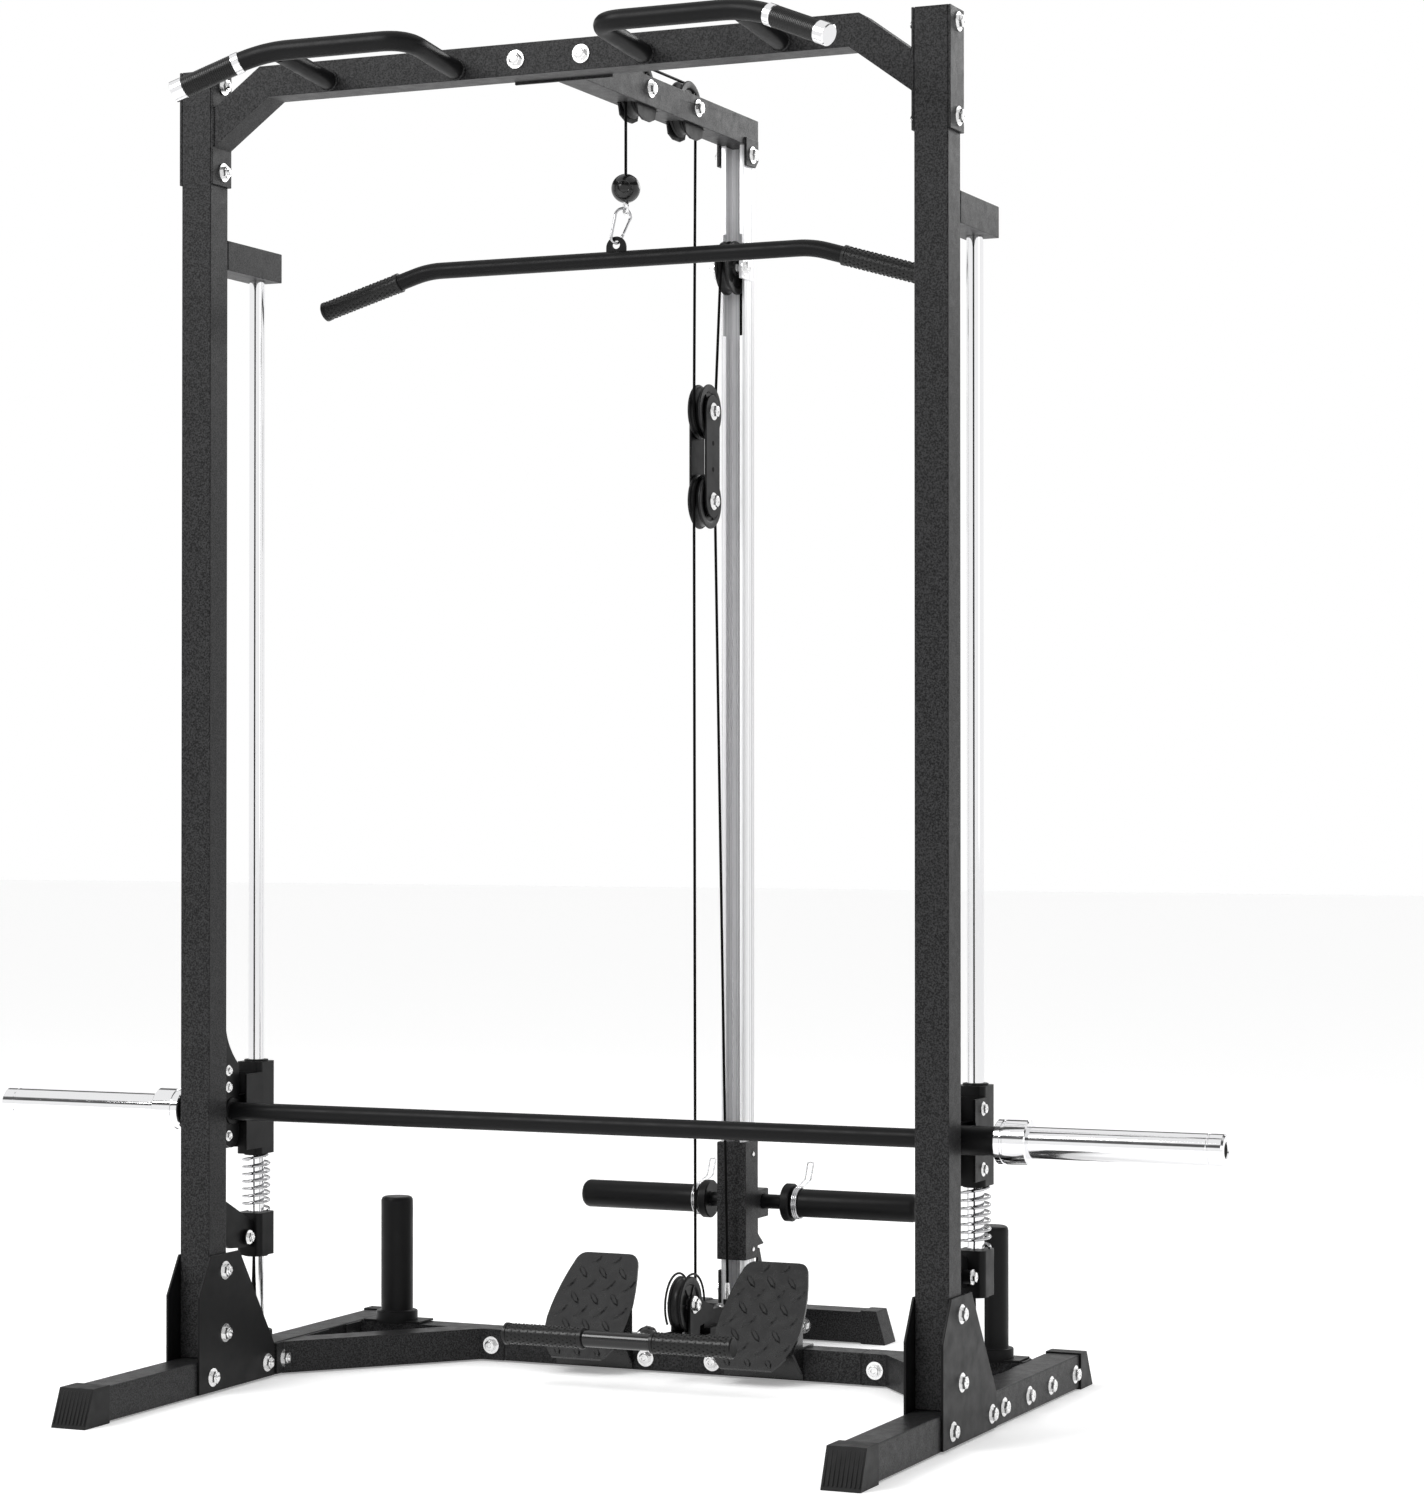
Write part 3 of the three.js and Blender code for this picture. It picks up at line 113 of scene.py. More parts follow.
def make_studio():
    """White all round, with a darker band overhead that bright metal picks up."""
    bpy.context.scene.view_settings.view_transform = "Standard"
    world = bpy.data.worlds.new("studio")
    bpy.context.scene.world = world
    world.use_nodes = True
    nodes, links = world.node_tree.nodes, world.node_tree.links
    place = nodes.new("ShaderNodeTexCoord")
    split = nodes.new("ShaderNodeSeparateXYZ")
    ramp = nodes.new("ShaderNodeValToRGB")
    links.new(place.outputs["Generated"], split.inputs["Vector"])
    links.new(split.outputs["Z"], ramp.inputs["Fac"])
    links.new(ramp.outputs["Color"], nodes["Background"].inputs["Color"])
    bands = ((0.0, 1.0), (0.3, 1.0), (0.36, 0.1), (0.6, 0.1), (0.66, 0.95), (1.0, 0.95))
    while len(ramp.color_ramp.elements) < len(bands):
        ramp.color_ramp.elements.new(0.5)
    for element, (height, level) in zip(ramp.color_ramp.elements, bands):
        element.position, element.color = height, (level, level, level, 1)
    nodes["Background"].inputs["Strength"].default_value = 1.0
    middle = (0, 0, 1.1)
    area_light("key", (-2.5, -4.2, 4.6), middle, (2.6, 2.6), 190)
    area_light("side", (4.8, -1.5, 2.4), middle, (1.6, 3.2), 8)
    area_light("back", (1.0, 4.6, 3.6), middle, (3.0, 2.0), 60)
    bpy.ops.mesh.primitive_plane_add(size=60, location=(0, 0, 0))
    floor = bpy.context.object
    floor.name = "floor"
    material = bpy.data.materials.new("floor")
    material.use_nodes = True
    shader = material.node_tree.nodes["Principled BSDF"]
    look = {"Base Color": (0.97, 0.97, 0.97, 1), "Roughness": 0.9, "Specular IOR Level": 0.1}
    set_inputs(shader, {**look, "Emission Color": (1, 1, 1, 1), "Emission Strength": 0.27})
    floor.data.materials.append(material)


# ---------------- materials


class Finish:
    """A Principled material with helpers for fine surface detail."""

    def __init__(self, name, slot, color, roughness, metallic, specular):
        self.slot = slot
        self.material = bpy.data.materials.new(name)
        self.material.use_nodes = True
        self.tree = self.material.node_tree
        self.shader = self.tree.nodes["Principled BSDF"]
        look = {"Base Color": (*color, 1), "Roughness": roughness, "Metallic": metallic}
        set_inputs(self.shader, {**look, "Specular IOR Level": specular})

    def node(self, kind, **values):
        made = self.tree.nodes.new(kind)
        for key, value in values.items():
            if key in made.inputs:
                made.inputs[key].default_value = value
            else:
                setattr(made, key, value)
        return made

    def place(self, stretch=(1, 1, 1)):
        coordinates = self.node("ShaderNodeTexCoord")
        mapping = self.node("ShaderNodeMapping", Scale=stretch)
        self.tree.links.new(coordinates.outputs["Object"], mapping.inputs["Vector"])
        return mapping.outputs["Vector"]

    def noise(self, scale, detail=2.0, stretch=(1, 1, 1)):
        made = self.node("ShaderNodeTexNoise", Scale=scale, Detail=detail)
        self.tree.links.new(self.place(stretch), made.inputs["Vector"])
        return made.outputs["Fac"]

    def bump(self, source, distance, strength):
        made = self.node("ShaderNodeBump", Distance=distance, Strength=strength)
        self.tree.links.new(source, made.inputs["Height"])
        self.tree.links.new(made.outputs["Normal"], self.shader.inputs["Normal"])

    def vary(self, source, low, high):
        """Lets the roughness run from low to high with the source."""
        made = self.node("ShaderNodeMapRange")
        set_inputs(made, {"From Min": 0.3, "From Max": 0.7, "To Min": low, "To Max": high})
        self.tree.links.new(source, made.inputs["Value"])
        self.tree.links.new(made.outputs["Result"], self.shader.inputs["Roughness"])

    def tint(self, source, dark, light):
        made = self.node("ShaderNodeValToRGB")
        made.color_ramp.elements[0].position, made.color_ramp.elements[1].position = 0.35, 0.65
        made.color_ramp.elements[0].color = (*dark, 1)
        made.color_ramp.elements[1].color = (*light, 1)
        self.tree.links.new(source, made.inputs["Fac"])
        self.tree.links.new(made.outputs["Color"], self.shader.inputs["Base Color"])


EVEN = (1, 1, 1)
# Each finish: material, slot, colour, roughness, metallic and specular; the grain that bumps it
# (scale, detail, stretch, distance, strength); the wear in its roughness (scale, detail, stretch,
# low, high).
FINISHES = dict(
    powder=("powder_coat", "powder_coat", (0.008, 0.008, 0.0085), 0.42, 0, 0.16,
        (520, 3, EVEN, 0.0005, 0.5), (60, 4, EVEN, 0.36, 0.46)),
    satin=("satin_black", "satin_plate", (0.006, 0.006, 0.0063), 0.4, 0, 0.13,
        (260, 2, EVEN, 0.0003, 0.16), (35, 4, EVEN, 0.33, 0.46)),
    plastic=("cap_plastic", "foot_plastic", (0.007, 0.007, 0.0072), 0.5, 0, 0.22,
        (900, 2, EVEN, 0.0002, 0.25), (50, 3, EVEN, 0.44, 0.56)),
    nylon=("pulley_nylon", "pulley_nylon", (0.006, 0.006, 0.0062), 0.38, 0, 0.26,
        (700, 2, EVEN, 0.00015, 0.2), (80, 3, EVEN, 0.32, 0.46)),
    rubber=("grip_rubber", "stop_rubber", (0.004, 0.004, 0.004), 0.34, 0, 0.36,
        (1100, 2, EVEN, 0.0002, 0.25), (90, 3, EVEN, 0.28, 0.4)),
    sheath=("cable_sheath", "cable_sheath", (0.001, 0.001, 0.001), 0.4, 0, 0.06,
        (500, 2, (1, 1, 0.15), 0.0002, 0.3), None),
    gloss=("gloss_black", "satin_plate", (0.005, 0.005, 0.005), 0.16, 0, 0.5,
        (300, 2, EVEN, 0.0001, 0.15), (60, 3, EVEN, 0.12, 0.22)),
    tread=("tread_plate", "powder_coat", (0.007, 0.007, 0.0073), 0.24, 0, 0.5,
        (420, 2, EVEN, 0.0002, 0.2), (60, 3, EVEN, 0.2, 0.3)),
    wire=("spring_wire", "chrome", (0.5, 0.5, 0.51), 0.14, 1, 0.5,
        (400, 2, (1, 1, 0.2), 0.0002, 0.2), (80, 3, EVEN, 0.1, 0.2)),
    chrome=("chrome", "chrome", (0.86, 0.86, 0.87), 0.07, 1, 0.5,
        (6, 2, EVEN, 0.0006, 0.05), (40, 4, EVEN, 0.05, 0.1)),
    zinc=("zinc_bolt", "chrome", (0.84, 0.84, 0.84), 0.2, 1, 0.5,
        (600, 2, EVEN, 0.0002, 0.12), (200, 3, EVEN, 0.12, 0.26)),
    aluminium=("mast_aluminium", "mast_aluminium", (0.8, 0.8, 0.81), 0.34, 0.4, 0.5,
        (260, 3, (1, 1, 0.004), 0.0003, 0.3), (120, 3, (1, 1, 0.01), 0.26, 0.42)),
    # Near-black and matte: painted shade, put on thin discs where the float plates' holes and the
    # bar sleeves' bore openings are.
    dark=("painted_recess_shade", "satin_plate", (0.002, 0.002, 0.002), 0.7, 0, 0.1,
        (400, 2, EVEN, 0.0002, 0.2), None),
)  # fmt: skip
MADE = {}  # each Finish by its short name, filled in by make_finishes


def make_finishes():
    for key, (name, slot, color, roughness, metallic, specular, grain, wear) in FINISHES.items():
        made = MADE[key] = Finish(name, slot, color, roughness, metallic, specular)
        scale, detail, stretch, distance, strength = grain
        made.bump(made.noise(scale, detail, stretch), distance, strength)
        if wear:
            scale, detail, stretch, low, high = wear
            made.vary(made.noise(scale, detail, stretch), low, high)
    powder, aluminium = MADE["powder"], MADE["aluminium"]
    powder.tint(powder.noise(420), (0.002, 0.002, 0.0022), (0.034, 0.034, 0.035))
    # Vertical light and dark streaks on the mast: brushed grain, and painted shade standing in for
    # the lines of its fine grooves.
    groove_shade_and_brush_streaks = aluminium.noise(210, 1, (1, 1, 0.0005))
    aluminium.tint(groove_shade_and_brush_streaks, (0.62, 0.62, 0.63), (0.98, 0.98, 0.99))


# ---------------- mesh building


class Shape:
    """Gathers simple solids into one mesh; lengths are in metres."""

    def __init__(self):
        self.verts, self.faces = [], []

    def take(self, verts, faces, matrix=None):
        start = len(self.verts)
        self.verts += [matrix @ Vector(v) if matrix else Vector(v) for v in verts]
        self.faces += [[i + start for i in f] for f in faces]
        return self

    def merge(self, other, matrix=None):
        return self.take(other.verts, other.faces, matrix)

    def lathe(self, profile, matrix=None, segments=48):
        """Turns (radius, height) pairs about +Z. A radius of 0 closes an end."""
        verts, rings = [], []
        for radius, height in profile:
            if radius < 1e-9:
                rings.append([len(verts)] * segments)
                verts.append((0, 0, height))
                continue
            rings.append(range(len(verts), len(verts) + segments))
            for i in range(segments):
                angle = 2 * math.pi * i / segments
                verts.append((radius * math.cos(angle), radius * math.sin(angle), height))
        faces = []
        for low, high in zip(rings, rings[1:]):
            for i in range(segments):
                j = (i + 1) % segments
                face = [low[i], low[j], high[j], high[i]]
                unique = [v for k, v in enumerate(face) if v != face[k - 1]]
                if len(unique) > 2:
                    faces.append(unique)
        return self.take(verts, faces, matrix)

    def turn(self, profile, matrix=None, segments=48):
        """The same from (radius, height) pairs in millimetres."""
        return self.lathe([(r * MM, h * MM) for r, h in profile], matrix, segments)

    def sweep(self, points, radius, sides=12, closed=False):
        """A round tube along points; radius is a number or a list of one per point."""
        points = [Vector(p) for p in points]
        count = len(points)
        radii = radius if isinstance(radius, list) else [radius] * count
        tangents = []
        for i in range(count):
            before = points[i - 1] if i or closed else points[0]
            after = points[(i + 1) % count] if i < count - 1 or closed else points[-1]
            tangents.append((after - before).normalized())
        across = tangents[0].orthogonal().normalized()
        verts = []
        for place, tangent, size in zip(points, tangents, radii):
            across = (across - tangent * across.dot(tangent)).normalized()
            other = tangent.cross(across)
            for i in range(sides):
                angle = 2 * math.pi * i / sides
                verts.append(place + (across * math.cos(angle) + other * math.sin(angle)) * size)
        faces = []
        for i in range(count if closed else count - 1):
            low, high = i * sides, (i + 1) % count * sides
            for j in range(sides):
                k = (j + 1) % sides
                faces.append([low + j, low + k, high + k, high + j])
        if not closed:
            faces.append(list(range(sides))[::-1])
            faces.append(list(range((count - 1) * sides, count * sides)))
        return self.take(verts, faces)

    def prism(self, outline, low, high, matrix=None):
        """An outline of (x, y) pairs, counter-clockwise, between two heights along Z."""
        count = len(outline)
        verts = [(x, y, low) for x, y in outline] + [(x, y, high) for x, y in outline]
        faces = [list(range(count))[::-1], list(range(count, 2 * count))]
        for i in range(count):
            j = (i + 1) % count
            faces.append([i, j, count + j, count + i])
        return self.take(verts, faces, matrix)

    def block(self, low, high):
        (x0, y0, z0), (x1, y1, z1) = low, high
        (x0, x1), (y0, y1) = sorted((x0, x1)), sorted((y0, y1))
        return self.prism([(x0, y0), (x1, y0), (x1, y1), (x0, y1)], z0, z1)

    def make(self, name, finish, body, smooth=35, bevel=0.0, stands_for=()):
        finish = MADE[finish]
        mesh = bpy.data.meshes.new(name)
        mesh.from_pydata([tuple(v) for v in self.verts], [], self.faces)
        work = bmesh.new()
        work.from_mesh(mesh)
        bmesh.ops.recalc_face_normals(work, faces=work.faces)
        work.to_mesh(mesh)
        work.free()
        mesh.shade_smooth()
        mesh.set_sharp_from_angle(angle=math.radians(smooth))
        made = bpy.data.objects.new(name, mesh)
        bpy.context.scene.collection.objects.link(made)
        mesh.materials.append(finish.material)
        if bevel:
            add_bevel(made, bevel)
        if body:
            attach(made, body)
        for node in stands_for:
            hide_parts(node)
        return made


def add_bevel(thing, width, segments=2):
    modifier = thing.modifiers.new("edges", "BEVEL")
    modifier.width, modifier.segments = width, segments
    modifier.limit_method, modifier.angle_limit = "ANGLE", math.radians(34)
    modifier.harden_normals = True


def frame_to(origin, direction):
    """A matrix that carries +Z at the origin to a direction at a place."""
    turn = Vector(direction).to_track_quat("Z", "Y").to_matrix().to_4x4()
    return Matrix.Translation(origin) @ turn


def along_x(x, y, z):
    """For turned pieces whose axis is the X direction."""
    return frame_to(at(x, y, z), (1, 0, 0))


def standing(x, y):
    """For turned pieces that stand on the floor's plane, their axis upright."""
    return Matrix.Translation(at(x, y, 0))


YZ_TO_X = Matrix(((0, 0, 1, 0), (1, 0, 0, 0), (0, 1, 0, 0), (0, 0, 0, 1)))
BOX_FACES = [[0, 1, 2, 3], [4, 5, 6, 7], [0, 1, 5, 4], [1, 2, 6, 5], [2, 3, 7, 6], [3, 0, 4, 7]]


def plate_across(shape, outline, x0, x1):
    """A plate between two places along X from an outline of (y, z) pairs in millimetres."""
    placed = [(at(0, y, z).y, at(0, y, z).z) for y, z in outline]
    low, high = sorted((x0, x1))
    return shape.prism(placed, low * MM, high * MM, YZ_TO_X)


def arc(centre, radius, start, end, steps, axis="X"):
    """Points on a circle, angles in degrees, in the YZ plane for X or in the XY plane for Z."""
    points = []
    for i in range(steps + 1):
        angle = math.radians(start + (end - start) * i / steps)
        u, v = radius * math.cos(angle), radius * math.sin(angle)
        points.append(Vector(centre) + Vector((0, u, v) if axis == "X" else (u, v, 0)))
    return points


def rounded_line(corners, reach, steps=10):
    """A polyline whose corners are replaced by smooth curves that start `reach` before them."""
    points = [Vector(corners[0])]
    for before, corner, after in zip(corners, corners[1:], corners[2:]):
        start = corner + (before - corner).normalized() * reach
        end = corner + (after - corner).normalized() * reach
        for i in range(steps + 1):
            t = i / steps
            points.append(start * (1 - t) ** 2 + corner * 2 * t * (1 - t) + end * t * t)
    points.append(Vector(corners[-1]))
    return points


# ---------------- dress the CAD parts

CAD_FINISH = {
    "powder": ["upright", "foot", "base_brace", "rod_arm"],
    "plastic": ["foot_front_cap", "foot_rear_cap"],
    "satin": ["outer_gusset", "inner_gusset", "safety_stop", "slider"],
}
CAD_SINGLE = {
    "powder": [
        "crossbeam", "base_crossbar", "base_spine", "rear_foot", "weight_carriage", "lat_arm",
    ],  # fmt: skip
    "satin": ["floating_frame", "low_pulley_bracket"],
    "aluminium": ["mast"],
}
TUBE_BEVEL = 0.0026
PLATE_BEVEL = 0.0008


def dress(node, finish, bevel):
    finish = MADE[finish]
    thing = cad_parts[node]
    mesh = thing.data
    mesh.materials.clear()
    mesh.materials.append(finish.material)
    for name in ("custom_normal", "sharp_edge", "sharp_face"):
        if name in mesh.attributes:
            mesh.attributes.remove(mesh.attributes[name])
    mesh.shade_flat()
    weld = thing.modifiers.new("weld", "WELD")
    weld.merge_threshold = 0.00002
    if bevel:
        add_bevel(thing, bevel, 3)


def dress_cad():
    plates = ("gusset", "slider", "stop", "frame", "bracket", "mast", "cap")
    pairs = [(f, f"{side}_{n}") for f, ns in CAD_FINISH.items() for side, _ in SIDES for n in ns]
    singles = [(f, n) for f, ns in CAD_SINGLE.items() for n in ns]
    for finish, node in pairs + singles:
        dress(node, finish, PLATE_BEVEL if any(p in node for p in plates) else TUBE_BEVEL)


# ---------------- bolts

BOLT = dict(hex=10.6, washer=15.4, washer_thick=2.2, head=7.5, nut=7.0)


def hexagon(radius):
    turns = [math.pi * i / 3 for i in range(6)]
    return [(radius * math.cos(turn), radius * math.sin(turn)) for turn in turns]


def bolt_head():
    """A flange bolt head standing on the plane Z = 0: washer, chamfered hexagon, dished top."""
    shape = Shape()
    washer, thick = BOLT["washer"] * MM, BOLT["washer_thick"] * MM
    hexagon_r, top = BOLT["hex"] * MM, (BOLT["washer_thick"] + BOLT["head"]) * MM
    bevel = 0.4 * MM
    rim = [(washer, 0), (washer, thick - bevel), (washer - bevel, thick)]
    shape.lathe([(0, 0), *rim, (0, thick)], segments=32)
    shape.prism(hexagon(hexagon_r), thick, top - 1.2 * MM)
    dome = [(hexagon_r * 0.86, top - 1.25 * MM), (hexagon_r * 0.80, top - 0.3 * MM)]
    dish = [(hexagon_r * 0.74, top), (hexagon_r * 0.42, top), (hexagon_r * 0.34, top - 1.1 * MM)]
    shape.lathe([(0, top - 1.3 * MM), *dome, *dish, (0, top - 1.1 * MM)], segments=32)
    return shape


def nut_end():
    """A lock nut on its washer with the bolt's threaded end standing out."""
    shape = Shape()
    washer, thick = BOLT["washer"] * MM, BOLT["washer_thick"] * MM
    top = thick + BOLT["nut"] * MM
    shape.lathe([(0, 0), (washer, 0), (washer, thick), (0, thick)], segments=32)
    shape.prism(hexagon(BOLT["hex"] * MM), thick, top)
    collar = BOLT["hex"] * 0.8 * MM
    rim = [(collar, top), (collar * 0.9, top + 1.5 * MM)]
    shape.lathe([(0, top), *rim, (0, top + 1.5 * MM)], segments=32)
    thread = [(0, top)]
    for i in range(3):
        thread += [(4.6 * MM, top + (1 + i) * MM), (5.0 * MM, top + (1.5 + i) * MM)]
    shape.lathe([*thread, (4.0 * MM, top + 4 * MM), (0, top + 4 * MM)], segments=24)
    return shape


def fasteners(name, body, heads=(), nuts=(), size=1.0):
    """Bolt heads and nuts joined into one piece; each is a place and the way it faces."""
    shape = Shape()
    for template, places in ((bolt_head(), heads), (nut_end(), nuts)):
        for i, (place, direction) in enumerate(places):
            turn = Matrix.Rotation(0.7 * i, 4, "Z")
            shape.merge(template, frame_to(place, direction) @ turn @ Matrix.Scale(size, 4))
    return shape.make(name, "zinc", body, smooth=30)


def frame_fasteners():
    plate = UPRIGHT_HALF + 0.3 + 4  # outer face of a gusset or saddle, from the upright's middle
    for name, side in SIDES:
        centre = side * UPRIGHT_X
        outward, inward = (side, 0, 0), (-side, 0, 0)
        heads, nuts = [], []
        for y, z in ((34, 2193), (34, 2047), (43, 203), (44, 98), (4, 29), (182, 29)):
            heads.append((at(centre + side * plate, y, z), outward))
            nuts.append((at(centre - side * plate, y, z), inward))
        for y, nut_y in ((252, 240), (375, 375), (486, 486), (613, 613)):
            heads.append((at(centre + side * UPRIGHT_HALF, y, 29), outward))
            nuts.append((at(side * (UPRIGHT_X - plate), nut_y, 29), inward))
        fasteners(f"{name}_frame_bolts", "frame", heads, nuts)
        head, nut = (at(side * 363, 515, 29), FRONT), (at(side * 363, 565, 29), BACK)
        fasteners(f"{name}_brace_bolts", "frame", [head], [nut])
    heads, nuts = [], []
    for x, front, back, z in ((58.5, 3, 63.3, 2188), (63, 515, 565, 25)):
        heads += [(at(side * x, front, z), FRONT) for _, side in SIDES]
        nuts += [(at(side * x, back, z), BACK) for _, side in SIDES]
    for (y, z), half in (
        (PULLEY_AT["arm_front"], 25),
        (PULLEY_AT["arm_rear"], 25),
        ((771, 2147), 29),
        (PULLEY_AT["mast"], 26.5),
        (PULLEY_AT["low"], 18.5),
        ((772, 118), 26.8),
    ):
        heads.append((at(half, y, z), RIGHT))
        nuts.append((at(-half, y, z), LEFT))
    for x in (-47, 47):
        heads.append((at(x, 1024, 29), BACK))
        nuts.append((at(x, 968, 29), FRONT))
    fasteners("column_bolts", "frame", heads, nuts)
    axles = [PULLEY_AT["float_upper"], PULLEY_AT["float_lower"]]
    heads = [(at(FLOAT_FACE, *axle), RIGHT) for axle in axles]
    nuts = [(at(-FLOAT_FACE, *axle), LEFT) for axle in axles]
    fasteners("float_bolts", "float", heads, nuts)


# ---------------- top of the frame


def pullup_handles():
    for name, side in SIDES:
        def place(x, y, z, side=side):
            return at(side * x, y, z)

        bend, tip = place(427, -172, 2197), place(571, -208, 2137)
        corners = [place(169, 0.5, 2180), place(165, -172, 2197), bend, tip]
        tube = Shape().sweep(rounded_line(corners, 48 * MM, 12), 16 * MM, 32)
        tube.sweep([place(404, 0.5, 2180), place(404, -157, 2196)], 15 * MM, 28)
        tube.make(f"{name}_handle_tube", "satin", "frame", stands_for=[f"{name}_pullup_handle"])

        way = (tip - bend).normalized()
        start, end = bend + way * 52 * MM, tip - way * 20 * MM
        chrome = Shape()
        for low, high in ((start - way * 14 * MM, start), (end, tip + way * 1 * MM)):
            length = (high - low).length
            profile = [(0, 0), (16.6 * MM, 0), (17.4 * MM, 0.8 * MM)]
            profile += [(17.4 * MM, length - 1.5 * MM), (15.8 * MM, length), (0, length)]
            chrome.lathe(profile, frame_to(low, way), 40)
        chrome.make(f"{name}_handle_rings", "chrome", "frame")

        grip = Shape()
        length = (end - start).length
        profile = [(16.2 * MM, 0)]
        waves = 26
        step = length / waves
        for i in range(waves):
            low = length * (i + 0.1) / waves
            profile += [(16.4 * MM, low), (17.1 * MM, low + step * 0.2)]
            profile += [(17.1 * MM, low + step * 0.6), (16.4 * MM, low + step * 0.8)]
        profile.append((16.2 * MM, length))
        grip.lathe(profile, frame_to(start, way), 40)
        grip.make(f"{name}_handle_grip", "rubber", "frame")


def weld_ring(shape, points, seed):
    """A bead of overlapping weld ripples along a line of points."""
    fine = []
    for a, b in zip(points, points[1:]):
        steps = max(2, int((b - a).length / (2.2 * MM)))
        fine += [a.lerp(b, i / steps) for i in range(steps)]
    fine.append(points[-1])
    radii = [
        (2.3 + 0.5 * math.sin(2.1 * i) + 0.5 * noise.noise(Vector((i * 0.7, seed, 0)))) * MM
        for i in range(len(fine))
    ]
    shape.sweep(fine, radii, 8)


def welds():
    """Painted weld beads where the tubes of each weldment meet."""
    shape = Shape()
    for _, side in SIDES:
        foot = side * 623.7  # inner faces of the saddle and the foot plate
        for x, y, z, radius in ((169, 3, 2180, 16.5), (404, 3, 2180, 15.5)):
            ring = arc(Vector((0, 0, 0)), radius * MM, 0, 360, 24, "Z")
            turned = [at(side * x, y - 1, z) + Vector((p.x, 0, p.y)) for p in ring]
            weld_ring(shape, turned, side * x)
        for y in (3, 58):
            weld_ring(shape, [at(foot, y, 2150), at(foot, y, 2090)], side * y + 7)
        weld_ring(shape, [at(foot, 5, 2151.5), at(foot, 56, 2151.5)], side + 0.3)
        for y in (515, 565):
            weld_ring(shape, [at(foot, y, 6), at(foot, y, 56)], side * y)
        weld_ring(shape, [at(foot, 517, 57), at(foot, 563, 57)], side + 3.1)
    for x in (-25, 25):
        weld_ring(shape, [at(x, 63.3, 2166), at(x, 63.3, 2212)], x + 0.5)
    weld_ring(shape, [at(-24, 63.3, 2164), at(24, 63.3, 2164)], 4.2)
    shape.make("weld_beads", "powder", "frame", smooth=60)


def tube_plugs():
    """The plastic plugs in the open tube tops and ends."""
    shape = Shape()
    for _, side in SIDES:
        x = side * UPRIGHT_X
        shape.block(at(x - 25, 3, 2206), at(x + 25, 53, 2213.5))
        shape.block(at(x - 25, 234, 1889), at(x + 25, 236.7, 1933))
    shape.block(at(-21.6, 800, 2167.4), at(21.6, 807.5, 2210.6))
    shape.make("tube_plugs", "plastic", "frame", bevel=0.0008)


# ---------------- feet, base and footplates


def cap_ribs():
    """Upright ribs on the leaning faces and sides of the foot caps."""
    shape = Shape()
    for _, side in SIDES:
        for tip, lean, way in ((-378, 25, -1), (700, -32, 1)):
            for i in range(9):
                x = side * UPRIGHT_X - UPRIGHT_HALF + 7 * i
                low, high = at(x, tip, 4), at(x, tip + lean, 60)
                spine = high - low
                half = Vector((1.5 * MM, 0, 0))
                out = Vector((0, way, 0)) * 0.6 * MM
                a, b = low + spine * 0.06, low + spine * 0.93
                root = [a - half, a + half, b + half, b - half]
                crest = [a - half * 0.6, a + half * 0.6, b + half * 0.6, b - half * 0.6]
                shape.take(root + [p + out for p in crest], BOX_FACES)
    shape.make("cap_ribs", "plastic", "frame", smooth=30)


def storage_posts():
    profile = [
        (0, 57.3), (37, 57.3), (37, 75.5), (36.2, 77.3), (34.5, 78), (29.6, 78), (28.5, 79.2),
        (28.5, 273), (27.8, 276.5), (26, 279.4), (23, 280.9), (19, 281), (0, 281),
    ]  # fmt: skip
    for name, side in SIDES:
        x = side * POST_X
        plate = Shape().block(at(x - 56, 514, 57.3), at(x + 56, 570, 61.3))
        plate.make(f"{name}_post_plate", "satin", "frame", bevel=0.001)
        post = Shape().turn(profile, standing(x, POST_Y), 64)
        post.make(f"{name}_post", "satin", "frame", smooth=25, stands_for=[f"{name}_storage_post"])


def footplates():
    """Diamond tread on each footplate's front, as raised lozenges in two directions."""
    rise, run, thick = 160, 137, 5
    length = math.hypot(rise, run)
    up = Vector((0, run, rise)).normalized()
    out = Vector((1, 0, 0)).cross(up)
    for name, side in SIDES:
        dress(f"{name}_footplate", "tread", PLATE_BEVEL)
        origin = at(side * 160, 440, 30) + out * thick * MM
        plane = Matrix((Vector((1, 0, 0)), up, out)).transposed().to_4x4()
        plane.translation = origin
        shape = Shape()
        pitch, row_pitch = 38.0, 27.0
        for row in range(8):
            for column in range(-3, 4):
                x = column * pitch + (row % 2) * pitch / 2
                y = 9 + row * row_pitch
                fits = [half for half in (17, 11) if inside_tread(x * side, y, length, half)]
                if fits:
                    turn = Matrix.Rotation(math.radians(50 if row % 2 else -50), 4, "Z")
                    spot = plane @ Matrix.Translation((x * MM, y * MM, 0))
                    lozenge(shape, spot @ turn, fits[0] * MM)
        shape.make(f"{name}_tread", "tread", "frame", smooth=25)


def inside_tread(x, y, length, half):
    """Whether a lozenge of that half length centred there stays on the plate; x grows outwards."""
    across, along = half * 0.66, half * 0.78
    corner = 26 * max(0, (26 - y) / 30) + 24 * max(0, (y - length + 34) / 30)
    taper = max(0, (y - 120) / 90)
    outer, inner = 77 - 14 * taper - corner, 74 - 16 * taper - corner
    return along - 4 < y < length - along and across - inner < x < outer - across


def lozenge(shape, matrix, half):
    """A long raised pad with sloping sides."""
    wide, tall = 4.8 * MM, 3 * MM
    flat = half * 0.45
    base = [(-half, 0), (-flat, -wide), (flat, -wide), (half, 0), (flat, wide), (-flat, wide)]
    top = [(x * 0.78, y * 0.55) for x, y in base]
    verts = [(x, y, -0.2 * MM) for x, y in base] + [(x, y, tall) for x, y in top]
    faces = [list(range(6))[::-1], list(range(6, 12))]
    faces += [[i, (i + 1) % 6, 6 + (i + 1) % 6, 6 + i] for i in range(6)]
    shape.take(verts, faces, matrix)


# ---------------- Smith bar


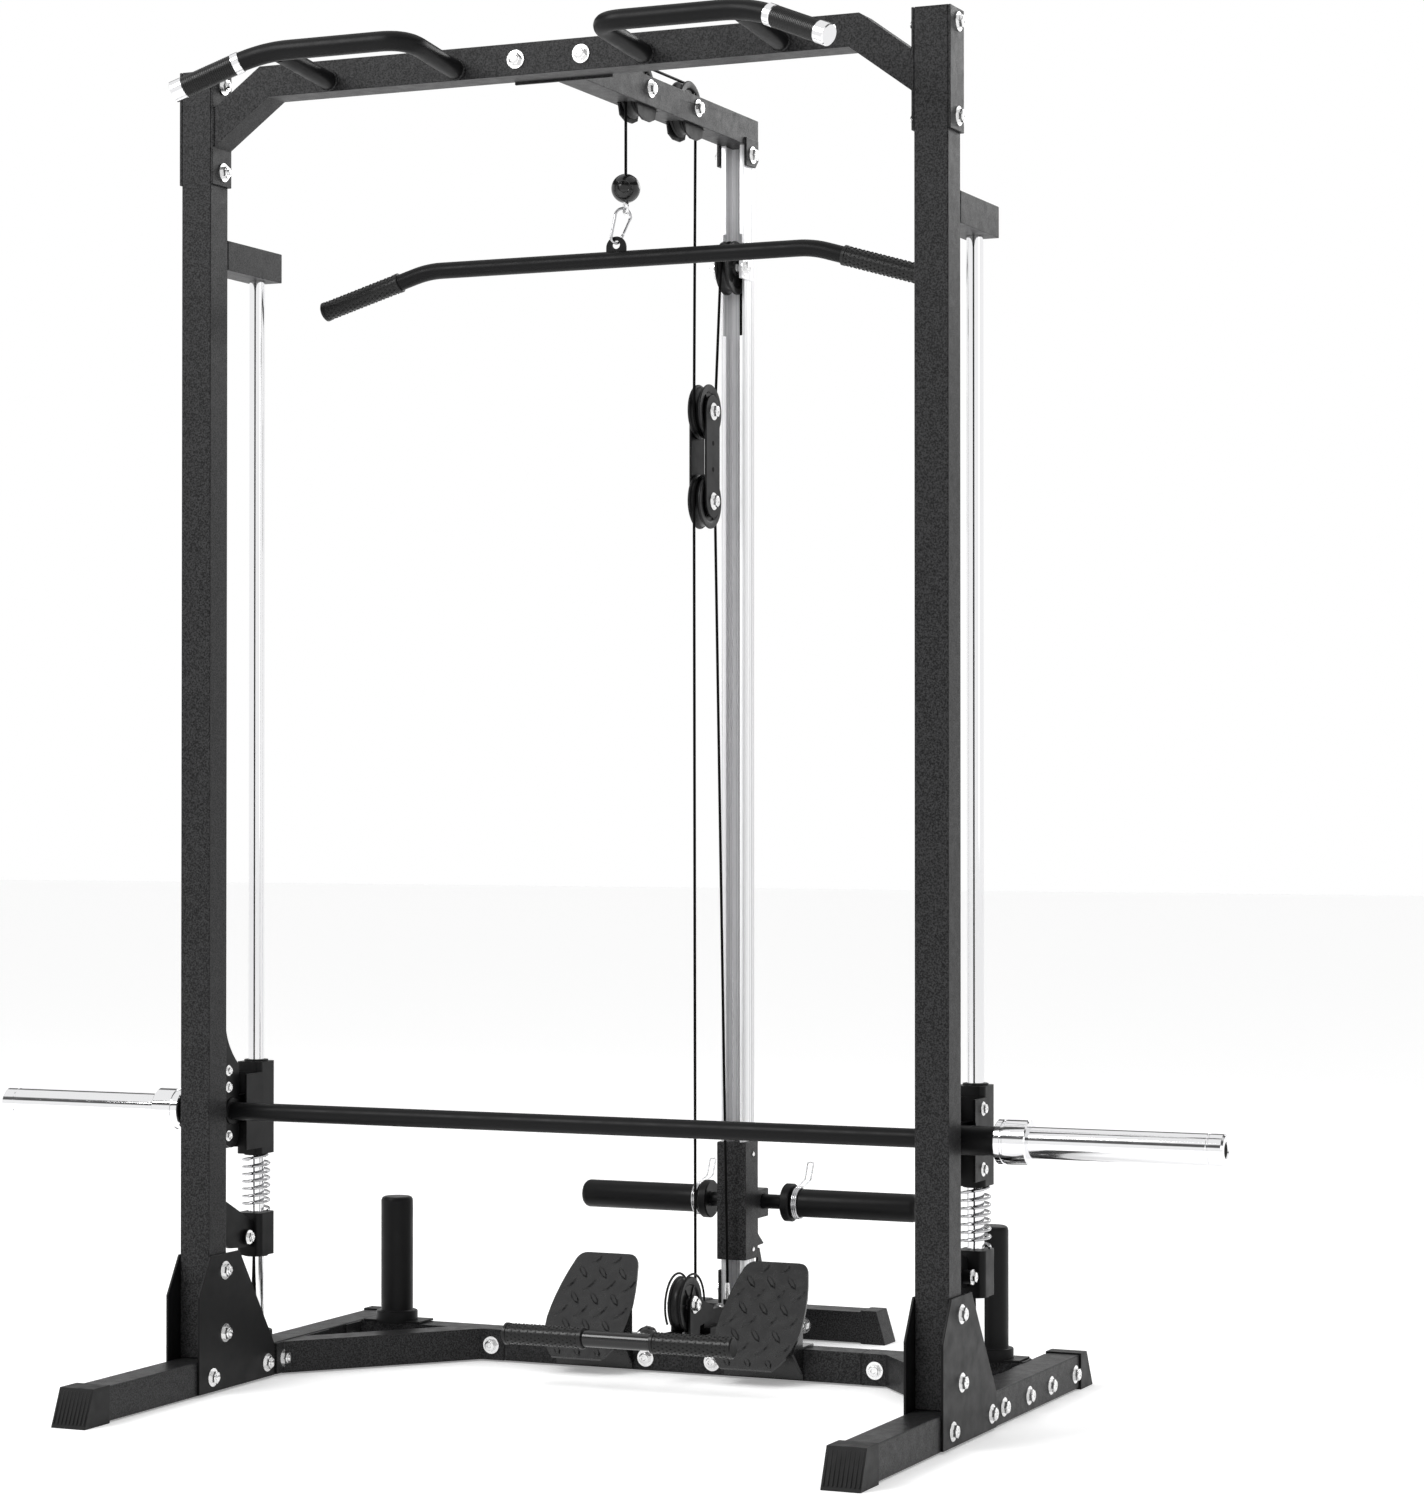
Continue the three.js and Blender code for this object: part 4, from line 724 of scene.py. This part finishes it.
def guide_rods():
    radius, foot, top = 13.5, 60, 1885.5
    cup = [(13.7, 58.8), (28, 58.8), (28, 80.5), (26.5, 82), (15, 82), (13.7, 80.7), (13.7, 58.8)]
    screw = [(0, 0), (6, 0), (6, 4), (5.4, 4.8), (0, 4.8)]
    for name, side in SIDES:
        x = side * UPRIGHT_X
        rod = [(0, foot), (radius, foot), (radius, top), (0, top)]
        turned = Shape().turn(rod, standing(x, ROD_Y), 64)
        turned.make(f"{name}_rod", "chrome", "frame", stands_for=[f"{name}_guide_rod"])
        Shape().turn(cup, standing(x, ROD_Y), 48).make(f"{name}_rod_cup", "plastic", "frame")
        head = Shape().turn(screw, frame_to(at(x, ROD_Y, 1936), UP), 28)
        head.make(f"{name}_rod_screw", "zinc", "frame")


def smith_bar():
    hub = [(-730.7, 0), (-730.7, 22), (-729.7, 23), (-641, 23), (-640, 22), (-640, 15)]
    profile = [(r, x) for x, r in hub] + [(r, -x) for x, r in reversed(hub)]
    bar = Shape().turn(profile, along_x(0, BAR_Y, BAR_Z), 64)
    bar.make("bar_shaft", "satin", "bar", smooth=30, stands_for=["smith_bar"])
    outline = [
        (731, 0), (731, 33.6), (732.4, 35), (741, 35), (742, 33.4), (745, 33.4), (746, 35),
        (781, 35), (783, 33), (783, 25), (1066, 25), (1066.8, 24.3), (1069.2, 24.3), (1070, 25),
        (1090, 25), (1093, 22), (1093, 13), (1090, 12), (1090, 0),
    ]  # fmt: skip
    # Painted shade: a dark disc where each sleeve's bore opens at its end, and a dark ring in the
    # gap between the sleeve and the bar at its root.
    bore_disc_shade = [(0, 0), (12.4, 0), (12.4, 1.0), (6, 1.6), (0, 1.6)]
    ring = [(23.5, 0), (31, 0), (31, 0.6), (23.5, 0.6), (23.5, 0)]
    for name, side in SIDES:
        hook_plate(name, side)
        sleeve = Shape().turn([(r, side * x) for x, r in outline], along_x(0, BAR_Y, BAR_Z), 72)
        sleeve.make(f"{name}_bar_sleeve", "chrome", "bar", smooth=25, stands_for=[f"{name}_sleeve"])
        tip = frame_to(at(side * 1090, BAR_Y, BAR_Z), (side, 0, 0))
        Shape().turn(bore_disc_shade, tip, 36).make(f"{name}_sleeve_bore_shade", "dark", "bar")
        root = frame_to(at(side * 730.9, BAR_Y, BAR_Z), (-side, 0, 0))
        Shape().turn(ring, root, 48).make(f"{name}_sleeve_gap_shade", "dark", "bar")


def curve(start, control, end, steps=8):
    """Points of a quadratic curve after its start, up to its end."""
    points = []
    for i in range(1, steps + 1):
        t = i / steps
        pulls = zip(start, control, end)
        points.append(
            tuple(a * (1 - t) ** 2 + b * 2 * t * (1 - t) + c * t * t for a, b, c in pulls)
        )
    return points


def hook_plate(name, side):
    """The plate that turns with the bar and hooks into the upright's slots."""
    bar_y, bar_z, face = BAR_Y, BAR_Z, 57.5
    arm = [(bar_y + 24, bar_z + 23), (bar_y + 22, bar_z + 78)]
    arm += curve(arm[-1], (face + 22, bar_z + 112), (face + 20, bar_z + 152))
    arm += [(face, bar_z + 158), (face, bar_z + 140)]
    arm += curve(arm[-1], (face + 8, bar_z + 132), (face + 8, bar_z + 118), 4)
    arm += curve(arm[-1], (face + 8, bar_z + 96), (face + 14, bar_z + 66))
    arm.append((bar_y - 24, bar_z + 23))
    foot = [
        (bar_y + 22 * math.cos(a), bar_z - 40 + 22 * math.sin(a))
        for a in (math.radians(180 + 9 * i) for i in range(21))
    ]
    outline = [(bar_y - 30, bar_z + 14), (bar_y - 30, bar_z - 14), *foot, (bar_y + 27, bar_z)]
    outline += arm
    plate = plate_across(Shape(), outline, side * 643, side * 648)
    plate.make(f"{name}_hook_plate", "satin", "bar", smooth=30, bevel=0.0006)


def springs():
    turns, per_turn, radius, wire = 7, 36, 22.5, 2.3
    low, high = 284.3 + wire, 384.7 - wire
    flat = 0.06  # share of the wire at each end that climbs less steeply
    for name, side in SIDES:
        points = []
        for i in range(turns * per_turn + 1):
            t = i / (turns * per_turn)
            climb = 0.04 + 0.92 * t
            if t <= flat:
                climb = t * 1.6
            elif t >= 1 - flat:
                climb = 1 - (1 - t) * 1.6
            angle = 2 * math.pi * turns * t
            place = at(side * UPRIGHT_X, ROD_Y, low + (high - low) * climb)
            points.append(place + Vector((math.cos(angle), math.sin(angle), 0)) * radius * MM)
        shape = Shape().sweep(points, wire * MM, 12)
        shape.make(f"{name}_coil", "wire", f"{name}_stop", stands_for=[f"{name}_spring"])


def slider_details():
    """End rings and bolts of the sliders and the clamp bolts of the safety stops."""

    def end_rings(name, body, x, spans):
        shape = Shape()
        for z0, z1 in spans:
            profile = [(14.2, z0), (20.5, z0), (20.5, z1), (14.2, z1), (14.2, z0)]
            shape.turn(profile, standing(x, ROD_Y), 40)
        shape.make(name, "plastic", body)

    for name, side in SIDES:
        x, out, back = side * UPRIGHT_X, (side, 0, 0), (-side, 0, 0)
        end_rings(f"{name}_slider_rings", "sliders", x, ((543, 546), (382, 385)))
        end_rings(f"{name}_stop_rings", f"{name}_stop", x, ((208.5, 211),))
        heads = [(at(x + side * 27.5, 157, z), out) for z in (509.5, 414.5)]
        fasteners(f"{name}_slider_bolts", "sliders", heads, size=0.72)
        plates = [(at(side * 643, 86, z), back) for z in (534, 506, 424)]
        fasteners(f"{name}_hook_bolts", "bar", plates, size=0.6)
        clamp = [(at(side * 640, *STOP_BOLT), back), (at(side * 668, *STOP_BOLT), out)]
        fasteners(f"{name}_stop_bolt", f"{name}_stop", clamp, size=0.8)
        spacer = [(0, 0), (11, 0), (11, 15), (0, 15)]
        turned = Shape().turn(spacer, frame_to(at(side * 653, *STOP_BOLT), out), 32)
        turned.make(f"{name}_stop_spacer", "satin", f"{name}_stop")


# ---------------- pulleys and cables


def pulleys():
    flank = [
        (6.3, -12), (12, -12), (12.8, -11.2), (14, -8.5), (33, -8.5), (35, -10.5), (36, -11.6),
        (37, -12), (46.6, -12), (48, -10.8), (48, -9.4), (46.6, -7.6),
    ]  # fmt: skip
    groove = []
    for i in range(15):
        a = 1.2 - 2.4 * i / 14
        groove.append((42.4 + 5.0 * (1 - math.cos(a)), -7.2 * math.sin(a) / math.sin(1.2)))
    profile = [*flank, *groove, *((r, -h) for r, h in reversed(flank)), flank[0]]
    spacer = [(6.4, 12), (8.5, 12), (8.5, 12.6), (6.4, 12.6), (6.4, 12)]
    for key, (y, z) in PULLEY_AT.items():
        node, body, centre = f"{key}_pulley", f"{key}_wheel", at(0, y, z)
        wheel = Shape().turn(profile, along_x(0, y, z), 72)
        wheel.make(f"{node}_wheel", "nylon", body, smooth=28, stands_for=[node])
        spokes = Shape()
        for i in range(6):
            angle = math.radians(60 * i)
            out = Vector((0, math.cos(angle), math.sin(angle)))
            w = Vector((0, -out.z, out.y)) * 1.6 * MM
            a, b = centre + out * 13 * MM, centre + out * 35 * MM
            for face in (-1, 1):
                depths = [Vector((face * depth * MM, 0, 0)) for depth in (8.3, 10.6)]
                box = [p + h for h in depths for p in (a - w, a + w, b + w, b - w)]
                spokes.take(box, BOX_FACES)
        spokes.make(f"{node}_spokes", "nylon", body, smooth=30)
        collar = Shape()
        for face in (-1, 1):
            collar.turn([(r, face * h) for r, h in spacer], along_x(0, y, z), 28)
        collar.make(f"{node}_spacers", "zinc", "float" if "float" in node else "frame")


CABLE = 2.5 * MM  # radius
WRAP = 45.5  # radius of a cable's middle round a pulley


def straight(a, b, steps=24):
    return [a.lerp(b, i / steps) for i in range(steps + 1)]


def cable_run(name, points, bodies, stands_for=()):
    """One stretch of cable: fixed to one body, or reaching from the first body to the second."""
    rides = bodies[0] if len(bodies) == 1 else None
    piece = Shape().sweep(points, CABLE, 12).make(name, "sheath", rides, smooth=60)
    if len(bodies) == 2:
        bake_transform(piece)
    for node in stands_for:
        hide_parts(node)


def cables():
    ball, row_ball = at(0, 297.5, 2041.5), at(0, 402, 80)
    arm_front, arm_rear, mast_top, upper, lower, low = (at(0, y, z) for y, z in PULLEY_AT.values())
    wrap = WRAP * MM
    front = arc(arm_front, wrap, 180, 90, 16)
    rear = arc(arm_rear, wrap, 90, 0, 16)
    under = arc(upper, wrap, 180, 360, 28)
    over = arc(mast_top, wrap, 180, 0, 28)
    carriage = at(0, 787.5, 379)
    cable_run("lat_cable_over_arm", [*front, *rear], ["frame"], ["lat_cable"])
    cable_run("lat_cable_front_drop", straight(front[0], ball), ["frame", "lat_end"])
    cable_run("lat_cable_to_float", straight(rear[-1], under[0]), ["frame", "float"])
    cable_run("lat_cable_under_float", under, ["float"])
    cable_run("lat_cable_from_float", straight(over[0], under[-1]), ["frame", "float"])
    cable_run("lat_cable_over_mast", over, ["frame"])
    cable_run("lat_cable_to_carriage", straight(over[-1], carriage), ["frame", "weight"])
    bottom = arc(low, wrap, 270, 360, 16)
    loop = arc(lower, wrap, 180, 0, 28)
    anchor = at(0, 727, 103)
    cable_run("row_cable_round_low_pulley", bottom, ["frame"], ["row_cable"])
    cable_run("row_cable_to_handle", straight(bottom[0], row_ball), ["frame", "row_end"])
    cable_run("row_cable_to_float", straight(bottom[-1], loop[0]), ["frame", "float"])
    cable_run("row_cable_over_float", loop, ["float"])
    cable_run("row_cable_to_anchor", straight(anchor, loop[-1]), ["frame", "float"])
    crimp = [(0, 0), (4.6, 0), (4.6, 26), (3.4, 30), (0, 30)]
    Shape().turn(crimp, frame_to(carriage, UP), 24).make("carriage_crimp", "zinc", "weight")
    end = frame_to(anchor, loop[-1] - anchor)
    Shape().turn(crimp, end, 24).make("anchor_crimp", "zinc", "frame")


def column_details():
    """Guards under the arm, painted shade for the float plates' holes, cable keepers and the tie
    bolt.
    """
    wings = Shape()
    for y, _ in (PULLEY_AT["arm_front"], PULLEY_AT["arm_rear"]):
        outline = [(y - 34, 2146), (y - 14, 2139), (y + 14, 2139), (y + 34, 2146)]
        outline += [(y + 40, 2164), (y - 40, 2164)]
        for side in (-1, 1):
            plate_across(wings, outline, side * 14.5, side * 18)
    wings.make("pulley_guards", "plastic", "frame", bevel=0.0006)
    # Painted shade: thin near-black discs where the float plates' holes are.
    painted_hole_shade = Shape()
    for z in (1572, 1618):
        for side in (-1, 1):
            spot = frame_to(at(side * FLOAT_FACE, 625, z), (side, 0, 0))
            painted_hole_shade.turn([(0, 0), (4.2, 0), (4.2, 0.25), (0, 0.25)], spot, 24)
    painted_hole_shade.make("float_plate_hole_shade", "dark", "float")
    hoops = Shape()
    for x in (-13.6, 13.6):
        hoops.sweep(arc(at(x, *PULLEY_AT["low"]), 52.5 * MM, -40, 215, 40), 2 * MM, 8)
    hoops.make("cable_keepers", "satin", "frame", smooth=60)
    shank, crest, length, start = 5.2, 5.7, 63, at(0, TIE_START, TIE_Z)
    thread = [(shank, 0), (shank, 61)]
    for i in range(30):
        thread[1:1] = [(shank, 60 - 2 * i), (crest, 59 - 2 * i)]
    Shape().turn(thread, frame_to(start, BACK), 20).make("anchor_tie_thread", "zinc", "frame")
    nut = frame_to(at(0, TIE_START + 5, TIE_Z), BACK)
    bolt = [(0, 0), (shank, 0), (shank, length), (0, length)]
    tie = Shape().turn(bolt, frame_to(start, BACK), 24)
    tie.prism(hexagon(9 * MM), 6 * MM, 13 * MM, nut)
    tie.turn([(0, 3), (11, 3), (11, 6), (0, 6)], nut, 28)
    tie.make("tie_bolt", "zinc", "frame")


# ---------------- weight carriage


def weight_horns():
    half = [
        (0, 13), (71, 13), (72, 14), (72, 32.2), (73.8, 34), (86.2, 34), (88, 32.2), (88, 25),
        (316, 25), (320.6, 23.6), (324.4, 20.2), (326, 15.4), (326, 0),
    ]  # fmt: skip
    profile = [(r, -x) for x, r in reversed(half)] + [(r, x) for x, r in half[1:]]
    horn = Shape().turn(profile, along_x(0, HORN_Y, HORN_Z), 64)
    horn.make("horns", "satin", "weight", smooth=28, stands_for=["weight_horn"])
    pads = Shape()
    for z0, z1 in ((171, 173), (379, 381.2)):
        for side in (-1, 1):
            pads.block(at(side * 22.8, 745, z0), at(side * 23.4, 797, z1))
    pads.make("carriage_pads", "plastic", "weight")
    screws = Shape()
    for z in (358, 188):
        for side in (-1, 1):
            head = [(0, -3), (4.4, -3), (4.4, 1.2), (3.4, 2), (0, 2)]
            screws.turn(head, frame_to(at(side * 28, 776, z), (side, 0, 0)), 24)
    screws.make("carriage_screws", "zinc", "weight")
    for name, side in SIDES:
        horn_clip(name, side)


def horn_clip(name, side):
    """A wire spring clip: three coils round the horn whose ends join in a grip behind it."""
    radius, turns, per_turn = 27.6, 3, 40
    count = turns * per_turn
    coil = []
    for i in range(count + 1):
        t = i / count
        angle = math.radians(78) - 2 * math.pi * turns * t
        x = side * (91.5 + 10 * t)
        y, z = HORN_Y + radius * math.cos(angle), HORN_Z + radius * math.sin(angle)
        coil.append(at(x, y, z))

    def leg(x):
        return [at(side * x, HORN_Y + back, HORN_Z + up) for back, up in ((44, 37), (58, 67))]

    wire = Shape().sweep(coil, 2.2 * MM, 10)
    grip = rounded_line([coil[0], *leg(91), *reversed(leg(102)), coil[-1]], 3 * MM, 5)
    wire.sweep(grip, 1.4 * MM, 10)
    nodes = [f"{name}_horn_clip"]
    wire.make(f"{name}_clip_wire", "wire", f"{name}_clip", smooth=60, stands_for=nodes)


# ---------------- handles on the cables


# In millimetres down a chain from the middle of its ball, but for the turn and the shifts.
LAT_TURN = math.radians(45)
LAT_SHIFTS = (-5, -16.7)  # of the carabiner's head and toe from the ball's axis
BALL = 24.5
EYE_DROP = 33
WIRE_TOP, WIRE_LOW = -34, -93
ROW_EYE, ROW_AXIS = -94, -116.5
TAB_HOLE, LAT_AXIS = -95.6, -120.6


def chain_matrix(kind):
    """Carries a chain laid out downwards from its ball to the lat or the row position."""
    if kind == "lat":
        return Matrix.Translation(at(0, 297.5, 2019)) @ Matrix.Rotation(LAT_TURN, 4, "Z")
    return Matrix.Translation(at(0, 384, 80)) @ Matrix.Rotation(-math.radians(90 + 5.7), 4, "X")


def local(points, matrix):
    return [matrix @ (Vector(p) * MM) for p in points]


def eye_points(x, z, radius=9.5, steps=36):
    angles = [2 * math.pi * i / steps for i in range(steps)]
    return [(x, radius * math.cos(angle), z + radius * math.sin(angle)) for angle in angles]


def ball_stop(kind, radius, body):
    """A moulded ball with a flat inset on its front, hung on an eye."""
    matrix = chain_matrix(kind)
    profile = [(0, radius * 0.9), (3.6, radius * 0.93), (5, radius * 0.97)]
    for i in range(1, 28):
        angle = math.pi / 2 - math.pi * i / 28
        if radius * math.cos(angle) > 5:
            profile.append((radius * math.cos(angle), radius * math.sin(angle)))
    profile += [(5, -radius * 0.97), (0, -radius * 0.97)]
    ball = Shape().turn(profile, matrix, 64)
    ball.make(f"{kind}_ball", "gloss", body, smooth=40, stands_for=[f"{kind}_ball_stop"])
    facing = Matrix.Rotation(math.radians(90), 4, "X")
    inset = Shape()
    for half in (0, math.pi):
        angle = half - (LAT_TURN if kind == "lat" else 0) + 0.3
        turned = matrix @ Matrix.Rotation(angle, 4, "Z") @ facing
        rim = [(9.5, 0.86), (11.6, 0.86), (11.6, 0.93), (10.4, 0.97), (9.5, 0.95), (9.5, 0.86)]
        inset.turn([(r * radius / BALL, z * radius) for r, z in rim], turned, 40)
    inset.make(f"{kind}_ball_rims", "gloss", body, smooth=30)
    eye = Shape().sweep(local(eye_points(0, -EYE_DROP), matrix), 2.8 * MM, 14, closed=True)
    neck = [(0, -BALL - 1.5), (4, -BALL - 1.5), (4.6, -radius * 0.8), (0, -radius * 0.8)]
    eye.turn(neck, matrix, 24)
    eye.make(f"{kind}_ball_eye", "zinc", body, smooth=60)


def carabiner(kind, shifts, body):
    """The bent wire body, wide at its head and narrow at its toe, and its sprung gate."""
    matrix = chain_matrix(kind)
    head, toe, wire, half_gate = 14, 9.5, 2.4, 13
    upper = Vector((shifts[0] + head, 0, WIRE_TOP - head))
    lower = Vector((shifts[1] + toe, 0, WIRE_LOW + toe))
    middle, along = (upper + lower) / 2, (upper - lower).normalized()
    points = [middle + along * (half_gate + 0.4)]
    for x, centre, size, start in (
        (shifts[0], WIRE_TOP - head, head, 0),
        (shifts[1], WIRE_LOW + toe, toe, 180),
    ):
        for i in range(25):
            angle = math.radians(start + 180 * i / 24)
            points.append(Vector((x + size * math.cos(angle), 0, centre + size * math.sin(angle))))
    points.append(middle - along * (half_gate + 0.4))
    wire_body = Shape().sweep(local(points, matrix), wire * MM, 16)
    wire_body.make(f"{kind}_hook_wire", "wire", body, smooth=60, stands_for=[f"{kind}_carabiner"])
    pin = [middle - along * (half_gate - 1.2), middle, middle + along * half_gate]
    arm = Shape().sweep(local(pin, matrix), 1.9 * MM, 16)
    gate_body = "lat_gate" if kind == "lat" else body
    nodes = ["lat_carabiner_gate"] if kind == "lat" else []
    arm.make(f"{kind}_gate", "wire", gate_body, smooth=60, stands_for=nodes)


def knurled_grip(shape, a, b, radius):
    """A rubber grip between two points, with rows of small raised pads and end collars."""
    length = (b - a).length
    matrix = frame_to(a, b - a)
    flange, low = 1.6 * MM, 7 * MM
    base = radius * MM
    profile = [
        (0, 0), (base, 0), (base + flange, 1 * MM), (base + flange, low - 1 * MM), (base, low),
        (base, length - low), (base + flange, length - low + 1 * MM),
        (base + flange, length - 2 * MM),
        (base - 1 * MM, length), (0, length),
    ]  # fmt: skip
    shape.lathe(profile, matrix, 40)
    around, step = 14, 7.2 * MM
    wide, tall, high = 2.5 * MM, 2.9 * MM, 1.5 * MM
    pad = [(0, -wide, 0), (0, 0, -tall), (0, wide, 0), (0, 0, tall)]
    pad += [(high, y * 0.5, z * 0.5) for _, y, z in pad]
    sides = [[j, (j + 1) % 4, 4 + (j + 1) % 4, 4 + j] for j in range(4)]
    count = int((length - 2 * low) / step)
    for row in range(count):
        z = low + (row + 0.5) * (length - 2 * low) / count
        for i in range(around):
            angle = 2 * math.pi * (i + 0.5 * (row % 2)) / around
            place = Matrix.Rotation(angle, 4, "Z") @ Matrix.Translation((base - 0.2 * MM, 0, z))
            shape.take(pad, [[3, 2, 1, 0], [4, 5, 6, 7], *sides], matrix @ place)


def lat_bar():
    hang = LAT_SHIFTS[1]
    x0, y0 = hang * math.cos(LAT_TURN), 297.5 + hang * math.sin(LAT_TURN)
    bend, grip_from, tip, tip_drop = 356, 410, 560, 60

    def place(x, z):
        return at(x0 + x, y0, 2019 + z)

    def out(x):
        return place(x, LAT_AXIS - tip_drop * (abs(x) - bend) / (tip - bend))

    corners = [out(-tip + 3), place(-bend, LAT_AXIS), place(bend, LAT_AXIS), out(tip - 3)]
    tube = Shape().sweep(rounded_line(corners, 26 * MM, 12), 14 * MM, 32)
    tube.make("lat_bar_tube", "satin", "lat_handle", smooth=40, stands_for=["lat_bar"])
    grips = Shape()
    for sign in (-1, 1):
        knurled_grip(grips, out(sign * grip_from), out(sign * tip), 15.4)
    grips.make("lat_bar_grips", "rubber", "lat_handle", smooth=30)

    rim, hole, centre = 18.5, 7, TAB_HOLE - 4.6
    angles = half_turn(24)
    top = [(rim * math.cos(a), centre + rim * math.sin(a)) for a in angles]
    outer = [(rim, LAT_AXIS), *top, (-rim, LAT_AXIS)]
    inner = [(hole * math.cos(2 * a), TAB_HOLE + hole * math.sin(2 * a)) for a in angles[:-1]]
    pierced_plate("lat_bar_tab", outer, inner, 1.5, place, "satin", "lat_handle")


def half_turn(steps):
    return [math.pi * i / steps for i in range(steps + 1)]


def pierced_plate(name, outer, inner, half, place, finish, body):
    """A flat plate in the XZ plane with one hole, `half` thick each way."""
    work = bmesh.new()
    edges = []
    for ring in (outer, inner):
        verts = [work.verts.new(place(x, z) - Vector((0, half * MM, 0))) for x, z in ring]
        edges += [work.edges.new((a, b)) for a, b in zip(verts, verts[1:] + verts[:1])]
    made = bmesh.ops.triangle_fill(work, use_beauty=True, edges=edges)
    faces = [f for f in made["geom"] if isinstance(f, bmesh.types.BMFace)]
    raised = bmesh.ops.extrude_face_region(work, geom=faces)["geom"]
    moved = [v for v in raised if isinstance(v, bmesh.types.BMVert)]
    bmesh.ops.translate(work, verts=moved, vec=(0, 2 * half * MM, 0))
    work.verts.index_update()
    rings = [[v.index for v in face.verts] for face in work.faces]
    shape = Shape().take([v.co for v in work.verts], rings)
    work.free()
    shape.make(name, finish, body, smooth=30, bevel=0.0004)


def row_bar():
    matrix = chain_matrix("row")

    def place(x):
        return matrix @ (Vector((x, 0, ROW_AXIS)) * MM)

    tube = Shape().sweep([place(-70), place(-23), place(23), place(70)], 14 * MM, 32)
    tube.sweep(local(eye_points(0, ROW_EYE), matrix), 2.8 * MM, 14, closed=True)
    tube.make("row_bar_tube", "gloss", "row_handle", smooth=40, stands_for=["row_bar"])
    grips = Shape()
    for sign in (-1, 1):
        knurled_grip(grips, place(sign * 62), place(sign * 210), 16.8)
    grips.make("row_bar_grips", "rubber", "row_handle", smooth=30)


# ---------------- put it together

make_camera()
make_studio()
make_finishes()
for build in (
    dress_cad, frame_fasteners, pullup_handles, welds, tube_plugs, cap_ribs, storage_posts,
    footplates, guide_rods, smith_bar, springs, slider_details, pulleys, cables, column_details,
    weight_horns,
):  # fmt: skip
    build()
ball_stop("lat", BALL, "lat_end")
ball_stop("row", 20, "row_end")
carabiner("lat", LAT_SHIFTS, "lat_end")
carabiner("row", (0, 0), "row_end")
lat_bar()
row_bar()
